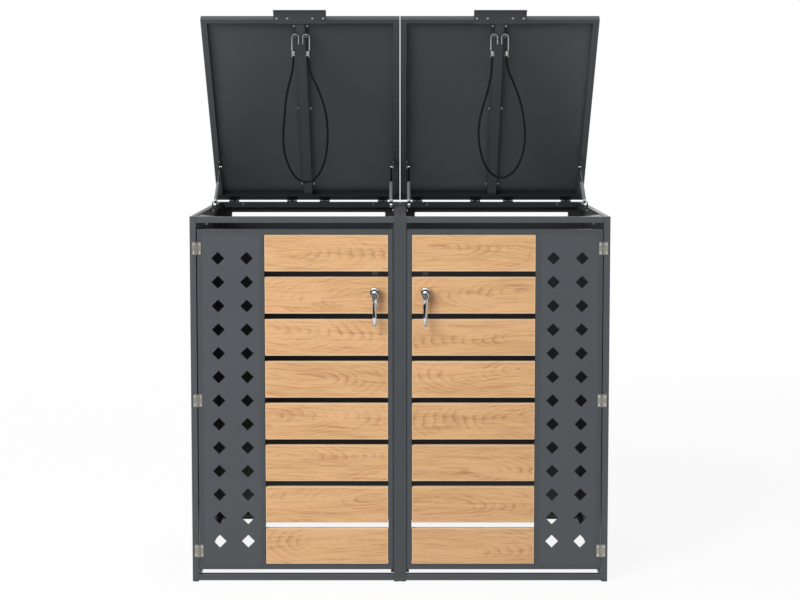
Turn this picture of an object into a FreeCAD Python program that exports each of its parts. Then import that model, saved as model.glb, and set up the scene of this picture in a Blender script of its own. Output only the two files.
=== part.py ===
import FreeCAD, Part
import math
import os

# Wheelie bin store for two bins, in millimetres.
# Pieces are modelled with y = 0 on the front face of the frame, +Y to the back and +Z up,
# and are moved by FRONT_Y when they are saved, so that the store's box is centred on the origin.

Vector = FreeCAD.Vector
X_AXIS = Vector(1, 0, 0)
Y_AXIS = Vector(0, 1, 0)
Z_AXIS = Vector(0, 0, 1)

# Frame
WIDTH = 1320.0
DEPTH = 800.0
FRAME_TOP = 1165.0
TUBE = 20.0
TUBE_WALL = 1.5
TUBE_CORNER = 2.0
FOOT_HEIGHT = 4.0
FOOT_EDGE = 0.5
FOOT_CHAMFER = 1.5
FOOT_SPIGOT = 14.0
FOOT_CLEARANCE = 0.3
COVER_STRIP_THICK = 1.2
COVER_STRIP_EDGE = 0.2
COVER_STRIP_FOOT = 12.0

# Sheet panels of the sides and the back
PANEL_SHEET = 1.0
PANEL_SETBACK = 2.0
PANEL_FOLD = 12.0
VENT_HEIGHT = 16.0
VENT_FROM_TOP = 18.0
VENT_END_MARGIN = 33.5

# Corner plates and their bolts
GUSSET_ACROSS = 75.0
GUSSET_DEEP = 115.0
GUSSET_THICK = 2.0
GUSSET_BOLT_ACROSS = 28.0
GUSSET_BOLT_DEEP = 20.0
GUSSET_BOLT_LENGTH = 24.0
GUSSET_BOLT_RADIUS = 4.0
BOLT_HEAD_RADIUS = 5.0
BOLT_HEAD_HEIGHT = 3.0
BOLT_HEAD_CHAMFER = 1.2
PANEL_BOLT_OUTER = 75.0
PANEL_BOLT_INNER = 77.0
PANEL_BOLT_DROP = 8.0

# Doors
DOOR_SIDE_GAP = 3.0
DOOR_TOP_GAP = 20.0
DOOR_BOTTOM_GAP = 16.0
DOOR_DEPTH = 20.0
DOOR_WALL = 1.2
DOOR_EDGE_RADIUS = 0.6
HINGE_STILE = 15.0
MULLION = 15.0
LOCK_STILE = 13.5
CROSS_MEMBER = 16.0
PERFORATED_WIDTH = 180.0
PERFORATED_SHEET = 1.5
PERFORATED_SETBACK = 0.3
PERFORATED_FOLD = 12.0
DIAMOND_DIAGONAL = 41.0
DIAMOND_COLUMN_SPACING = 90.0
DIAMOND_COLUMN_OFFSET = 50.0
DIAMOND_END_MARGIN = 75.0
DIAMOND_ROWS = 13
PLANK_COUNT = 8
PLANK_HEIGHT = 115.5
PLANK_THICK = 15.0
PLANK_SETBACK = 2.0
PLANK_END_GAP = 1.0
PLANK_EDGE_RADIUS = 1.0
LIP_WIDTH = 22.0
LIP_THICK = 1.5
LIP_END_MARGIN = 5.0

# The strip behind the centre posts that both doors close against
STOP_STRIP_THICK = 1.5
STOP_STRIP_REACH = 28.8
STOP_STRIP_DOOR_GAP = 0.3
STOP_STRIP_END_GAP = 1.0
STOP_STRIP_OVERLAP = 1.0

# Butt hinges of the doors and the lids
KNUCKLE_RADIUS = 3.0
PIN_RADIUS = 1.5
LID_KNUCKLE_RADIUS = 2.2
LID_PIN_RADIUS = 1.1
PIN_CLEARANCE = 0.1
LEAF_THICK = 1.5
LEAF_REACH = 14.25
LEAF_RELIEF = 0.4
KNUCKLE_GAP = 0.3
DOOR_HINGE_HEIGHT = 40.0
DOOR_HINGE_MARGIN = 60.0
LID_HINGE_WIDTH = 36.0
LID_LEAF_REACH = 21.0
LID_HINGE_INNER = 59.0
LID_HINGE_OUTER = 268.0

# Handles and latches
SPINDLE_FROM_POST = 59.5
SPINDLE_Z = 931.0
HUB_RADIUS = 15.0
LOCK_DROP = 14.0
LOCK_LOBE_RADIUS = 11.5
ROSETTE_RADIUS = 13.5
ROSETTE_THICK = 9.0
ROSETTE_CHAMFER = 2.5
HUB_CLEARANCE = 0.4
HUB_THICK = 20.0
HUB_ROUNDING = 5.0
LEVER_LENGTH = 108.0
HANDLE_REACH = 44.0
SPINDLE_RADIUS = 4.0
SPINDLE_CLEARANCE = 0.3
BARREL_RADIUS = 9.0
BARREL_CLEARANCE = 0.3
NUT_RADIUS = 14.0
NUT_THICK = 5.0
LOCK_PLUG_RADIUS = 7.5
LOCK_PLUG_DEPTH = 12.0
LOCK_PLUG_CLEARANCE = 0.1
LOCK_PLUG_PROUD = 1.0
KEYWAY_WIDTH = 1.4
KEYWAY_HEIGHT = 8.0
KEYWAY_DEPTH = 6.0
TONGUE_WIDTH = 18.0
TONGUE_THICK = 3.0
TONGUE_CLEARANCE = 0.4
TONGUE_OVERLAP = 10.0

# Lids
LID_GAP = 2.4
LID_FRONT_OVERHANG = 5.0
LID_OPEN_ANGLE = 52.8
LID_TUBE = 20.0
LID_TUBE_WALL = 1.2
LID_EDGE_RADIUS = 1.0
SKIN = 0.8
SKIN_LIP_STOP = 1.0
RIB_CREST = 30.0
RIB_HEIGHT = 16.0
RIB_FLANGE = 12.0
RIB_SHEET = 1.2
GRIP_WIDTH = 174.0
GRIP_PROJECTION = 22.0
GRIP_THICK = 2.0
GRIP_LIP = 9.0
GRIP_LIP_ANGLE = 55.0

# Gas struts: the lower pivot on the rail, the upper pivot as seen with the lid closed
STRUT_PIVOT_Y = 455.0
STRUT_PIVOT_ABOVE_TOP = 8.0
STRUT_LID_REACH = 192.0
STRUT_LID_DROP = 43.0
STRUT_RADIUS = 6.3
STRUT_CYLINDER_END = 135.0
STRUT_CYLINDER_START = 22.0
STRUT_BORE_END = 35.0
STRUT_END_CHAMFER = 1.5
STRUT_NECK_RADIUS = 4.0
STRUT_EYE_RADIUS = 7.0
STRUT_EYE_THICK = 8.0
STRUT_PIN_RADIUS = 4.0
STRUT_PIN_CLEARANCE = 0.1
STRUT_STUD_RADIUS = 3.5
STRUT_COLLAR_RADIUS = 5.5
STRUT_CLIP_RADIUS = 5.0
STRUT_CLIP_THICK = 2.0
ROD_RADIUS = 3.0
ROD_CLEARANCE = 0.3
ROD_INSERTION = 25.0
ROD_COLLAR_LENGTH = 15.0
STRUT_PLATE = 1.5
STRUT_LANE_GAP = 0.7
STRUT_STUD_GAP = 0.4
STRUT_PLATE_WIDTH = 24.0
RAIL_PLATE_WIDTH = 26.0
RAIL_PLATE_EDGE = 2.0
RAIL_PLATE_RIM_GAP = 0.4

# Elastic cords with their wire hooks, which hang from pegs on the lid ribs
CORD_DIAMETER = 7.0
HOOK_WIRE_RADIUS = 2.4
HOOK_HALF_WIDTH = 11.2
HOOK_SPACING = 36.0
HOOK_TIP_LENGTH = 22.0
HOOK_LEG_LENGTH = 46.0
FERRULE_SHIFT = 6.0
FERRULE_LENGTH = 22.0
FERRULE_RADIUS = 7.4
FERRULE_WAIST = 5.6
FERRULE_TURNS = 3
PEG_RADIUS = 4.5
PEG_GAP = 0.3
PEG_FROM_FRONT = 103.5
PEG_REACH = 34.5
PEG_NOSE = 7.0
PEG_TAB_WIDTH = 14.0
PEG_TAB_LENGTH = 46.0
PEG_TAB_THICK = 2.0
PEG_TAB_START = 16.0

# Points of each hanging cord between its two ferrules, as it hangs: across from the middle of
# its lid and down from the top of its hooks
LEFT_CORD_POINTS = [
    (-36.0, 154.0), (-49.0, 207.0), (-54.0, 271.0), (-60.0, 334.0), (-57.0, 392.0), (-40.0, 444.0),
    (-15.0, 481.0), (14.0, 493.0), (43.0, 485.0), (72.0, 447.0), (87.0, 389.0), (90.0, 320.0),
    (84.0, 260.0), (69.0, 208.0), (47.0, 157.0),
]
RIGHT_CORD_POINTS = [
    (-31.0, 156.0), (-42.0, 202.0), (-57.0, 248.0), (-67.0, 296.0), (-69.0, 346.0), (-60.0, 400.0),
    (-43.0, 442.0), (-19.0, 469.0), (5.0, 478.0), (32.0, 471.0), (59.0, 447.0), (79.0, 403.0),
    (88.0, 348.0), (85.0, 292.0), (73.0, 228.0), (51.0, 167.0),
]
CORD_START_RUN = 34.0

# Places worked out from the sizes above
HALF = WIDTH / 2
BAY_OUTER = HALF - TUBE
BAY_INNER = TUBE
BOTTOM_RAIL_TOP = FOOT_HEIGHT + TUBE
TOP_RAIL_BOTTOM = FRAME_TOP - TUBE
DOOR_OUTER = BAY_OUTER - DOOR_SIDE_GAP
DOOR_INNER = BAY_INNER + DOOR_SIDE_GAP
DOOR_BOTTOM = BOTTOM_RAIL_TOP + DOOR_BOTTOM_GAP
DOOR_TOP = TOP_RAIL_BOTTOM - DOOR_TOP_GAP
WINDOW_BOTTOM = DOOR_BOTTOM + CROSS_MEMBER
WINDOW_TOP = DOOR_TOP - CROSS_MEMBER
SHEET_OUTER = DOOR_OUTER - HINGE_STILE
SHEET_INNER = SHEET_OUTER - PERFORATED_WIDTH
PLANK_OUTER = SHEET_INNER - MULLION
PLANK_INNER = DOOR_INNER + LOCK_STILE
PLANK_BACK = PLANK_SETBACK + PLANK_THICK
DOOR_PIVOT_X = BAY_OUTER - DOOR_SIDE_GAP / 2
SPINDLE_X = BAY_INNER + SPINDLE_FROM_POST
LID_HINGE_Y = DEPTH + LID_KNUCKLE_RADIUS
LID_HINGE_Z = FRAME_TOP + LID_KNUCKLE_RADIUS
LID_UNDERSIDE = FRAME_TOP + 2 * LID_KNUCKLE_RADIUS
LID_INNER = LID_GAP / 2
LID_CENTRE = (HALF + LID_INNER) / 2
LID_FRONT = -LID_FRONT_OVERHANG
RIM_OUTER = HALF - SKIN - LID_TUBE
RIM_INNER = LID_INNER + SKIN + LID_TUBE
RIM_FRONT = LID_FRONT + SKIN + LID_TUBE
RIM_BACK = DEPTH - SKIN - LID_TUBE
SKIN_UNDERSIDE = LID_UNDERSIDE + LID_TUBE
OPEN = math.radians(LID_OPEN_ANGLE)

# How far the rounded back edge of the open lid reaches behind the hinge line
LID_BACK_REACH = ((LID_TUBE + SKIN + LID_KNUCKLE_RADIUS - LID_EDGE_RADIUS) * math.sin(OPEN)
                  - (LID_KNUCKLE_RADIUS + LID_EDGE_RADIUS) * math.cos(OPEN) + LID_EDGE_RADIUS)
FRONT_Y = (HANDLE_REACH - LID_HINGE_Y - LID_BACK_REACH) / 2
STRUT_PIVOT_Z = FRAME_TOP + STRUT_PIVOT_ABOVE_TOP
GUSSET_UNDERSIDE = FRAME_TOP - TUBE_CORNER - GUSSET_THICK
STRUT_LANE = STRUT_PLATE + STRUT_LANE_GAP + STRUT_RADIUS
STRUT_OUTER_X = RIM_OUTER - STRUT_LANE
STRUT_INNER_X = RIM_INNER + STRUT_LANE


def lid_point(forward, up, angle):
    """Where a point of the lid, forward of and above the hinge line when shut, lies at an angle."""
    turn = math.radians(angle)
    y = LID_HINGE_Y - forward * math.cos(turn) + up * math.sin(turn)
    z = LID_HINGE_Z + forward * math.sin(turn) + up * math.cos(turn)
    return y, z


def strut_state(angle):
    """Length and elevation in degrees of a strut with the lid open by an angle."""
    y, z = lid_point(STRUT_LID_REACH, -STRUT_LID_DROP, angle)
    run = y - STRUT_PIVOT_Y
    rise = z - STRUT_PIVOT_Z
    return math.hypot(run, rise), math.degrees(math.atan2(rise, run))


STRUT_OPEN_LENGTH, STRUT_OPEN_ELEVATION = strut_state(LID_OPEN_ANGLE)
STRUT_SHUT_LENGTH, STRUT_SHUT_ELEVATION = strut_state(0.0)

# The pegs stand on the rib's flanges and are level with the lid open: where they root, and
# the upright plane and the height that the hooks hang at
FLANGE_FACE_Z = SKIN_UNDERSIDE - RIB_SHEET
PEG_ROOT_Y = LID_FRONT + PEG_FROM_FRONT
OPEN_ROOT_Y, OPEN_ROOT_Z = lid_point(LID_HINGE_Y - PEG_ROOT_Y, FLANGE_FACE_Z - LID_HINGE_Z,
                                     LID_OPEN_ANGLE)
HOOK_PLANE_Y = OPEN_ROOT_Y - PEG_REACH
HOOK_APEX_Z = OPEN_ROOT_Z + PEG_RADIUS + PEG_GAP + HOOK_WIRE_RADIUS


def block(x, y, z):
    """A box from the low and high end of its three spans."""
    return Part.makeBox(x[1] - x[0], y[1] - y[0], z[1] - z[0], Vector(x[0], y[0], z[0]))


def rod(radius, start, direction, length):
    """A round bar from its start along a direction."""
    return Part.makeCylinder(radius, length, start, direction)


def fuse(shapes):
    """One solid from several that meet."""
    return shapes[0].fuse(shapes[1:]).removeSplitter()


def mirrored(shape):
    """The same piece on the other side of the store."""
    return shape.mirror(Vector(0, 0, 0), X_AXIS)


def square_tube(spans, along, wall, capped=False):
    """A hollow section with rounded long edges, open at both ends or capped at its far end."""
    tube = block(*spans)
    sides = [high - low for index, (low, high) in enumerate(spans) if index != along]
    direction = (X_AXIS, Y_AXIS, Z_AXIS)[along]
    long_edges = [edge for edge in tube.Edges if abs(edge.tangentAt(0).dot(direction)) > 0.9]
    tube = tube.makeFillet(min(TUBE_CORNER, 0.2 * min(sides)), long_edges)
    bore = [(low + wall, high - wall) for low, high in spans]
    low, high = spans[along]
    bore[along] = (low - 1.0, high - wall if capped else high + 1.0)
    return tube.cut(block(*bore))


def on_plane(shape, axis, value):
    """The edges of a shape that lie in a plane square to an axis (0, 1 or 2)."""
    found = []
    for edge in shape.Edges:
        ends = [tuple(vertex.Point)[axis] for vertex in edge.Vertexes]
        if all(abs(end - value) < 1e-6 for end in ends):
            found.append(edge)
    return found


def extruded(points, direction):
    """A prism from a closed outline of points."""
    outline = Part.makePolygon(points + [points[0]])
    return Part.Face(outline).extrude(direction)


def save(name, shapes):
    """Write one named piece, or one group of like pieces."""
    placed = []
    for shape in shapes:
        for solid in shape.Solids:
            copy = solid.copy()
            copy.translate(Vector(0, FRONT_Y, 0))
            placed.append(copy)
    shape = placed[0] if len(placed) == 1 else Part.makeCompound(placed)
    shape.exportStep("parts/" + name + ".step")


# Frame: square tubes welded into side frames and joined by the rails

def posts(x_span, y_span):
    """A post and its twin on the other side."""
    post = square_tube([x_span, y_span, (FOOT_HEIGHT, FRAME_TOP)], 2, TUBE_WALL, capped=True)
    return [post, mirrored(post)]


def cross_rails(y_span):
    """The top and bottom rails of both bays, between the posts."""
    rails = []
    for z_span in ((FOOT_HEIGHT, BOTTOM_RAIL_TOP), (TOP_RAIL_BOTTOM, FRAME_TOP)):
        rail = square_tube([(-BAY_OUTER, -BAY_INNER), y_span, z_span], 0, TUBE_WALL)
        rails += [rail, mirrored(rail)]
    return rails


def side_rails(x_span):
    """The top and bottom rails that run from front to back, and their twins."""
    rails = []
    for z_span in ((FOOT_HEIGHT, BOTTOM_RAIL_TOP), (TOP_RAIL_BOTTOM, FRAME_TOP)):
        rail = square_tube([x_span, (TUBE, DEPTH - TUBE), z_span], 1, TUBE_WALL)
        rails += [rail, mirrored(rail)]
    return rails


def feet():
    """A plastic plug under each post, with a spigot in the post's open end."""
    plugs = []
    for x in (-HALF, -TUBE):
        for y in (0.0, DEPTH - TUBE):
            head = block((x + FOOT_EDGE, x + TUBE - FOOT_EDGE),
                         (y + FOOT_EDGE, y + TUBE - FOOT_EDGE), (0.0, FOOT_HEIGHT))
            head = head.makeChamfer(min(FOOT_CHAMFER, 0.8 * FOOT_HEIGHT), on_plane(head, 2, 0.0))
            inset = TUBE_WALL + FOOT_CLEARANCE
            spigot = block((x + inset, x + TUBE - inset), (y + inset, y + TUBE - inset),
                           (FOOT_HEIGHT, FOOT_HEIGHT + FOOT_SPIGOT))
            plug = fuse([head, spigot])
            plugs += [plug, mirrored(plug)]
    return plugs


def panel_tray(x_span, y_span, z_span, open_axis, sheet_at_low):
    """A sheet with its four edges folded inward, as a shallow tray."""
    spans = [x_span, y_span, z_span]
    hollow = [(low + PANEL_SHEET, high - PANEL_SHEET) for low, high in spans]
    low, high = spans[open_axis]
    if sheet_at_low:
        hollow[open_axis] = (low + PANEL_SHEET, high + 1.0)
    else:
        hollow[open_axis] = (low - 1.0, high - PANEL_SHEET)
    return block(*spans).cut(block(*hollow))


def side_panel():
    """The plain sheet of the left side, between its posts and rails."""
    outer = -HALF + PANEL_SETBACK
    return panel_tray((outer, outer + PANEL_FOLD), (TUBE, DEPTH - TUBE),
                      (BOTTOM_RAIL_TOP, TOP_RAIL_BOTTOM), 0, True)


def rear_panel():
    """The sheet behind the left bay, with its long vent slot near the top."""
    outer = DEPTH - PANEL_SETBACK
    tray = panel_tray((-BAY_OUTER, -BAY_INNER), (outer - PANEL_FOLD, outer),
                      (BOTTOM_RAIL_TOP, TOP_RAIL_BOTTOM), 1, False)
    vent_top = TOP_RAIL_BOTTOM - VENT_FROM_TOP
    vent = block((-BAY_OUTER + VENT_END_MARGIN, -BAY_INNER - VENT_END_MARGIN),
                 (outer - PANEL_FOLD, outer + 1.0), (vent_top - VENT_HEIGHT, vent_top))
    slot_edges = [edge for edge in vent.Edges if abs(edge.tangentAt(0).dot(Y_AXIS)) > 0.9]
    return tray.cut(vent.makeFillet(0.25 * VENT_HEIGHT, slot_edges))


def corner_gusset():
    """The plate let into the left front corner of the top rails."""
    outline = [
        Vector(-BAY_OUTER, TUBE, GUSSET_UNDERSIDE),
        Vector(-BAY_OUTER + GUSSET_ACROSS, TUBE, GUSSET_UNDERSIDE),
        Vector(-BAY_OUTER, TUBE + GUSSET_DEEP, GUSSET_UNDERSIDE),
    ]
    return extruded(outline, Vector(0, 0, GUSSET_THICK))


def bolt_head(seat, outward):
    """A head with an eased rim, standing on its seat."""
    head = rod(BOLT_HEAD_RADIUS, seat, outward, BOLT_HEAD_HEIGHT)
    top = seat + outward * BOLT_HEAD_HEIGHT
    rim = [edge for edge in head.Edges
           if edge.Closed and abs((edge.CenterOfMass - top).dot(outward)) < 1e-6]
    return head.makeChamfer(min(BOLT_HEAD_CHAMFER, 0.5 * BOLT_HEAD_HEIGHT), rim)


def gusset_bolt():
    """The bolt under the left corner plate: its nut, and its end that hangs below the rail."""
    down = Vector(0, 0, -1)
    seat = Vector(-BAY_OUTER + GUSSET_BOLT_ACROSS, TUBE + GUSSET_BOLT_DEEP, GUSSET_UNDERSIDE)
    return fuse([bolt_head(seat, down), rod(GUSSET_BOLT_RADIUS, seat, down, GUSSET_BOLT_LENGTH)])


def frame_bolts():
    """The bolts under the corner plates and on the front face of the rear rail."""
    forward = Vector(0, -1, 0)
    rear_face = DEPTH - TUBE
    bolt_z = FRAME_TOP - PANEL_BOLT_DROP
    bolts = [
        gusset_bolt(),
        bolt_head(Vector(-BAY_OUTER + PANEL_BOLT_OUTER, rear_face, bolt_z), forward),
        bolt_head(Vector(-BAY_INNER - PANEL_BOLT_INNER, rear_face, bolt_z), forward),
    ]
    return bolts + [mirrored(bolt) for bolt in bolts]


def centre_cover_strip():
    """The flat strip over the seam between the two centre posts."""
    half = TUBE - COVER_STRIP_EDGE
    return block((-half, half), (-COVER_STRIP_THICK, 0.0), (FOOT_HEIGHT + COVER_STRIP_FOOT, FRAME_TOP))


def door_stop_strip():
    """The strip on the back of the front centre posts, its wings joggled clear of the doors."""
    height = (BOTTOM_RAIL_TOP + STOP_STRIP_END_GAP, TOP_RAIL_BOTTOM - STOP_STRIP_END_GAP)
    seat = block((-BAY_INNER, BAY_INNER), (TUBE, TUBE + STOP_STRIP_THICK), height)
    face = DOOR_DEPTH + STOP_STRIP_DOOR_GAP
    wing = block((-STOP_STRIP_REACH, -BAY_INNER + STOP_STRIP_OVERLAP),
                 (face, face + STOP_STRIP_THICK), height)
    return fuse([seat, wing, mirrored(wing)])


# Butt hinges: leaf A reaches to -X, leaf B to +X, their backs on y = 0, the pin along Z

def butt_hinge(length, reach, knuckle, pin_radius):
    """Two leaves laid flat and their pin, centred on the origin."""
    axis = Vector(0, -knuckle, 0)
    segment = (length - 2 * KNUCKLE_GAP) / 3
    start = -length / 2
    segments = [(start + i * (segment + KNUCKLE_GAP), start + i * (segment + KNUCKLE_GAP) + segment)
                for i in range(3)]
    bore = rod(pin_radius + PIN_CLEARANCE, axis + Vector(0, 0, start - 1.0), Z_AXIS, length + 2.0)
    leaves = []
    for side, own in ((-1, (segments[0], segments[2])), (1, (segments[1],))):
        near = side * (knuckle + LEAF_RELIEF)
        far = side * reach
        parts = [block((min(near, far), max(near, far)), (-LEAF_THICK, 0.0), (start, -start))]
        for low, high in own:
            parts.append(block((min(0.0, near), max(0.0, near)), (-LEAF_THICK, 0.0), (low, high)))
            parts.append(rod(knuckle, axis + Vector(0, 0, low), Z_AXIS, high - low))
        leaves.append(fuse(parts).cut(bore))
    pin = rod(pin_radius, axis + Vector(0, 0, start), Z_AXIS, length)
    return leaves[0], leaves[1], pin


def door_hinges():
    """Post leaves, door leaves and pins of the left door."""
    middle = (DOOR_TOP + DOOR_BOTTOM) / 2
    heights = (DOOR_BOTTOM + DOOR_HINGE_MARGIN, middle, DOOR_TOP - DOOR_HINGE_MARGIN)
    groups = ([], [], [])
    for z in heights:
        pieces = butt_hinge(DOOR_HINGE_HEIGHT, LEAF_REACH, KNUCKLE_RADIUS, PIN_RADIUS)
        for group, piece in zip(groups, pieces):
            piece.translate(Vector(-DOOR_PIVOT_X, 0, z))
            group.append(piece)
    return groups


def lid_hinges():
    """Rail leaves, lid leaves (lid shut) and pins of the left lid."""
    groups = ([], [], [])
    turn = FreeCAD.Rotation(Y_AXIS, Vector(0, 0, -1), Vector(-1, 0, 0), "XYZ")
    for offset in (-LID_HINGE_OUTER, -LID_HINGE_INNER, LID_HINGE_INNER, LID_HINGE_OUTER):
        place = FreeCAD.Placement(Vector(-LID_CENTRE + offset, LID_HINGE_Y, FRAME_TOP), turn)
        pieces = butt_hinge(LID_HINGE_WIDTH, LID_LEAF_REACH, LID_KNUCKLE_RADIUS, LID_PIN_RADIUS)
        for group, piece in zip(groups, pieces):
            piece.Placement = place
            group.append(piece)
    for leaf in groups[1]:
        leaf.rotate(Vector(0, LID_HINGE_Y, LID_HINGE_Z), X_AXIS, 180)
    return groups


# Doors: a welded frame that holds a perforated sheet and a row of boards

def door_frame():
    """The left door's frame of thin tube, with the tabs that the boards are screwed to."""
    depth = (0.0, DOOR_DEPTH)
    inner_depth = (DOOR_WALL, DOOR_DEPTH - DOOR_WALL)
    height = (DOOR_BOTTOM, DOOR_TOP)
    stiles = ((-DOOR_OUTER, -SHEET_OUTER), (-SHEET_INNER, -PLANK_OUTER), (-PLANK_INNER, -DOOR_INNER))
    members = [block(stile, depth, height) for stile in stiles]
    bores = [block((low + DOOR_WALL, high - DOOR_WALL), inner_depth,
                   (DOOR_BOTTOM - 1.0, DOOR_TOP - DOOR_WALL)) for low, high in stiles]
    across = (-DOOR_OUTER + DOOR_WALL, -DOOR_INNER - DOOR_WALL)
    for low, high in ((DOOR_BOTTOM, WINDOW_BOTTOM), (WINDOW_TOP, DOOR_TOP)):
        members.append(block((-DOOR_OUTER, -DOOR_INNER), depth, (low, high)))
        bores.append(block(across, inner_depth, (low + DOOR_WALL, high - DOOR_WALL)))
    frame = fuse(members)
    frame = frame.makeFillet(DOOR_EDGE_RADIUS, on_plane(frame, 1, 0.0))
    frame = frame.cut(fuse(bores))
    lip_depth = (PLANK_BACK, PLANK_BACK + LIP_THICK)
    lips = []
    for low, high in plank_spans():
        height = (low + LIP_END_MARGIN, high - LIP_END_MARGIN)
        lips.append(block((-PLANK_OUTER, -PLANK_OUTER + LIP_WIDTH), lip_depth, height))
        lips.append(block((-PLANK_INNER - LIP_WIDTH, -PLANK_INNER), lip_depth, height))
    return fuse([frame] + lips)


def perforated_sheet():
    """The sheet with two columns of diamond holes, folded back along its two long edges."""
    front = PERFORATED_SETBACK
    sheet = block((-SHEET_OUTER, -SHEET_INNER), (front, front + PERFORATED_FOLD),
                  (WINDOW_BOTTOM, WINDOW_TOP))
    hollow = block((-SHEET_OUTER + PERFORATED_SHEET, -SHEET_INNER - PERFORATED_SHEET),
                   (front + PERFORATED_SHEET, front + PERFORATED_FOLD + 1.0),
                   (WINDOW_BOTTOM - 1.0, WINDOW_TOP + 1.0))
    half = DIAMOND_DIAGONAL / 2
    lowest = WINDOW_BOTTOM + DIAMOND_END_MARGIN
    pitch = (WINDOW_TOP - DIAMOND_END_MARGIN - lowest) / (DIAMOND_ROWS - 1)
    holes = []
    for column in range(2):
        x = -SHEET_OUTER + DIAMOND_COLUMN_OFFSET + column * DIAMOND_COLUMN_SPACING
        for row in range(DIAMOND_ROWS):
            z = lowest + row * pitch
            corners = [Vector(x, front - 1.0, z - half), Vector(x + half, front - 1.0, z),
                       Vector(x, front - 1.0, z + half), Vector(x - half, front - 1.0, z)]
            holes.append(extruded(corners, Vector(0, PERFORATED_SHEET + 2.0, 0)))
    return sheet.cut([hollow] + holes)


def plank_spans():
    """The height span of each board, from the bottom one up."""
    first = WINDOW_BOTTOM + PLANK_END_GAP
    pitch = (WINDOW_TOP - PLANK_END_GAP - PLANK_HEIGHT - first) / (PLANK_COUNT - 1)
    return [(first + i * pitch, first + i * pitch + PLANK_HEIGHT) for i in range(PLANK_COUNT)]


def door_planks():
    """The left door's boards, eased along their front edges, one bored for the lock."""
    bore = rod(BARREL_RADIUS + BARREL_CLEARANCE, Vector(-SPINDLE_X, -1.0, SPINDLE_Z), Y_AXIS,
               PLANK_BACK + 2.0)
    boards = []
    for low, high in plank_spans():
        board = block((-PLANK_OUTER + PLANK_END_GAP, -PLANK_INNER - PLANK_END_GAP),
                      (PLANK_SETBACK, PLANK_BACK), (low, high))
        board = board.makeFillet(PLANK_EDGE_RADIUS, on_plane(board, 1, PLANK_SETBACK))
        boards.append(board.cut(bore))
    return boards


# Lock, handle and latch of the left door

def lock_housing():
    """The rosette on the board, its barrel through the board and the nut behind."""
    centre = Vector(-SPINDLE_X, 0, SPINDLE_Z)
    thickness = PLANK_SETBACK + ROSETTE_THICK
    front = PLANK_SETBACK - thickness
    rosette = rod(ROSETTE_RADIUS, centre + Y_AXIS * front, Y_AXIS, thickness)
    rosette = rosette.makeChamfer(min(ROSETTE_CHAMFER, 0.4 * ROSETTE_THICK), on_plane(rosette, 1, front))
    barrel = rod(BARREL_RADIUS, centre + Y_AXIS * PLANK_SETBACK, Y_AXIS, PLANK_THICK)
    corners = [centre + Vector(NUT_RADIUS * math.cos(math.radians(60 * i)), PLANK_BACK,
                               NUT_RADIUS * math.sin(math.radians(60 * i))) for i in range(6)]
    nut = extruded(corners, Y_AXIS * NUT_THICK)
    bore = rod(SPINDLE_RADIUS + SPINDLE_CLEARANCE, centre + Y_AXIS * (front - 1.0), Y_AXIS,
               thickness + PLANK_THICK + NUT_THICK + 2.0)
    return fuse([rosette, barrel, nut]).cut(bore)


def teardrop(x, top_z, top_radius, low_z, low_radius, front, thickness):
    """A rounded plate, wide round the spindle and narrower round the lock."""
    lean = math.asin((top_radius - low_radius) / (top_z - low_z))
    across = math.cos(lean)
    down = math.sin(lean)

    def at(side, z, radius):
        return Vector(x + side * radius * across, front, z - radius * down)

    top_arc = Part.Arc(at(-1, top_z, top_radius), Vector(x, front, top_z + top_radius),
                       at(1, top_z, top_radius))
    low_arc = Part.Arc(at(1, low_z, low_radius), Vector(x, front, low_z - low_radius),
                       at(-1, low_z, low_radius))
    sides = [Part.LineSegment(at(1, top_z, top_radius), at(1, low_z, low_radius)),
             Part.LineSegment(at(-1, low_z, low_radius), at(-1, top_z, top_radius))]
    outline = Part.Wire([top_arc.toShape(), sides[0].toShape(), low_arc.toShape(), sides[1].toShape()])
    return Part.Face(outline).extrude(Vector(0, thickness, 0))


def handle_lever():
    """The cast lever: hub, curved arm with a flared tip, and the spindle through the door."""
    x = -SPINDLE_X
    hub_back = -ROSETTE_THICK - HUB_CLEARANCE
    hub_front = hub_back - HUB_THICK
    lock_z = SPINDLE_Z - LOCK_DROP
    hub = teardrop(x, SPINDLE_Z, HUB_RADIUS, lock_z, LOCK_LOBE_RADIUS, hub_front, HUB_THICK)
    hub = hub.makeFillet(min(HUB_ROUNDING, 0.4 * HUB_THICK), on_plane(hub, 1, hub_front))
    tip_z = SPINDLE_Z - LEVER_LENGTH
    arm_z = lock_z - 0.4 * LOCK_LOBE_RADIUS
    middle = hub_back - HUB_THICK / 2
    arm_back = -HANDLE_REACH + 4.5
    # Each section: height, half width, half thickness and distance in front of the frame
    sections = [
        (arm_z, 9.0, 6.0, middle),
        (arm_z - 0.25 * (arm_z - tip_z), 7.6, 4.8, middle - 2.0),
        (arm_z - 0.55 * (arm_z - tip_z), 6.6, 4.2, (middle + arm_back) / 2 - 1.0),
        (arm_z - 0.82 * (arm_z - tip_z), 7.4, 4.0, arm_back),
        (tip_z + 3.0, 7.2, 3.6, arm_back),
        (tip_z, 5.4, 2.6, arm_back),
    ]
    rings = []
    for z, half_width, half_thick, y in sections:
        ring = Part.Ellipse(Vector(x, y, z), half_width, half_thick)
        rings.append(Part.Wire([ring.toShape()]))
    arm = Part.makeLoft(rings, True, True)
    spindle = rod(SPINDLE_RADIUS, Vector(x, hub_back, SPINDLE_Z), Y_AXIS,
                  -hub_back + PLANK_BACK + NUT_THICK + TONGUE_CLEARANCE)
    bore = rod(LOCK_PLUG_RADIUS + LOCK_PLUG_CLEARANCE, Vector(x, hub_front - 1.0, lock_z), Y_AXIS,
               LOCK_PLUG_DEPTH + LOCK_PLUG_CLEARANCE + 1.0)
    return fuse([hub, arm, spindle]).cut(bore)


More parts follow.
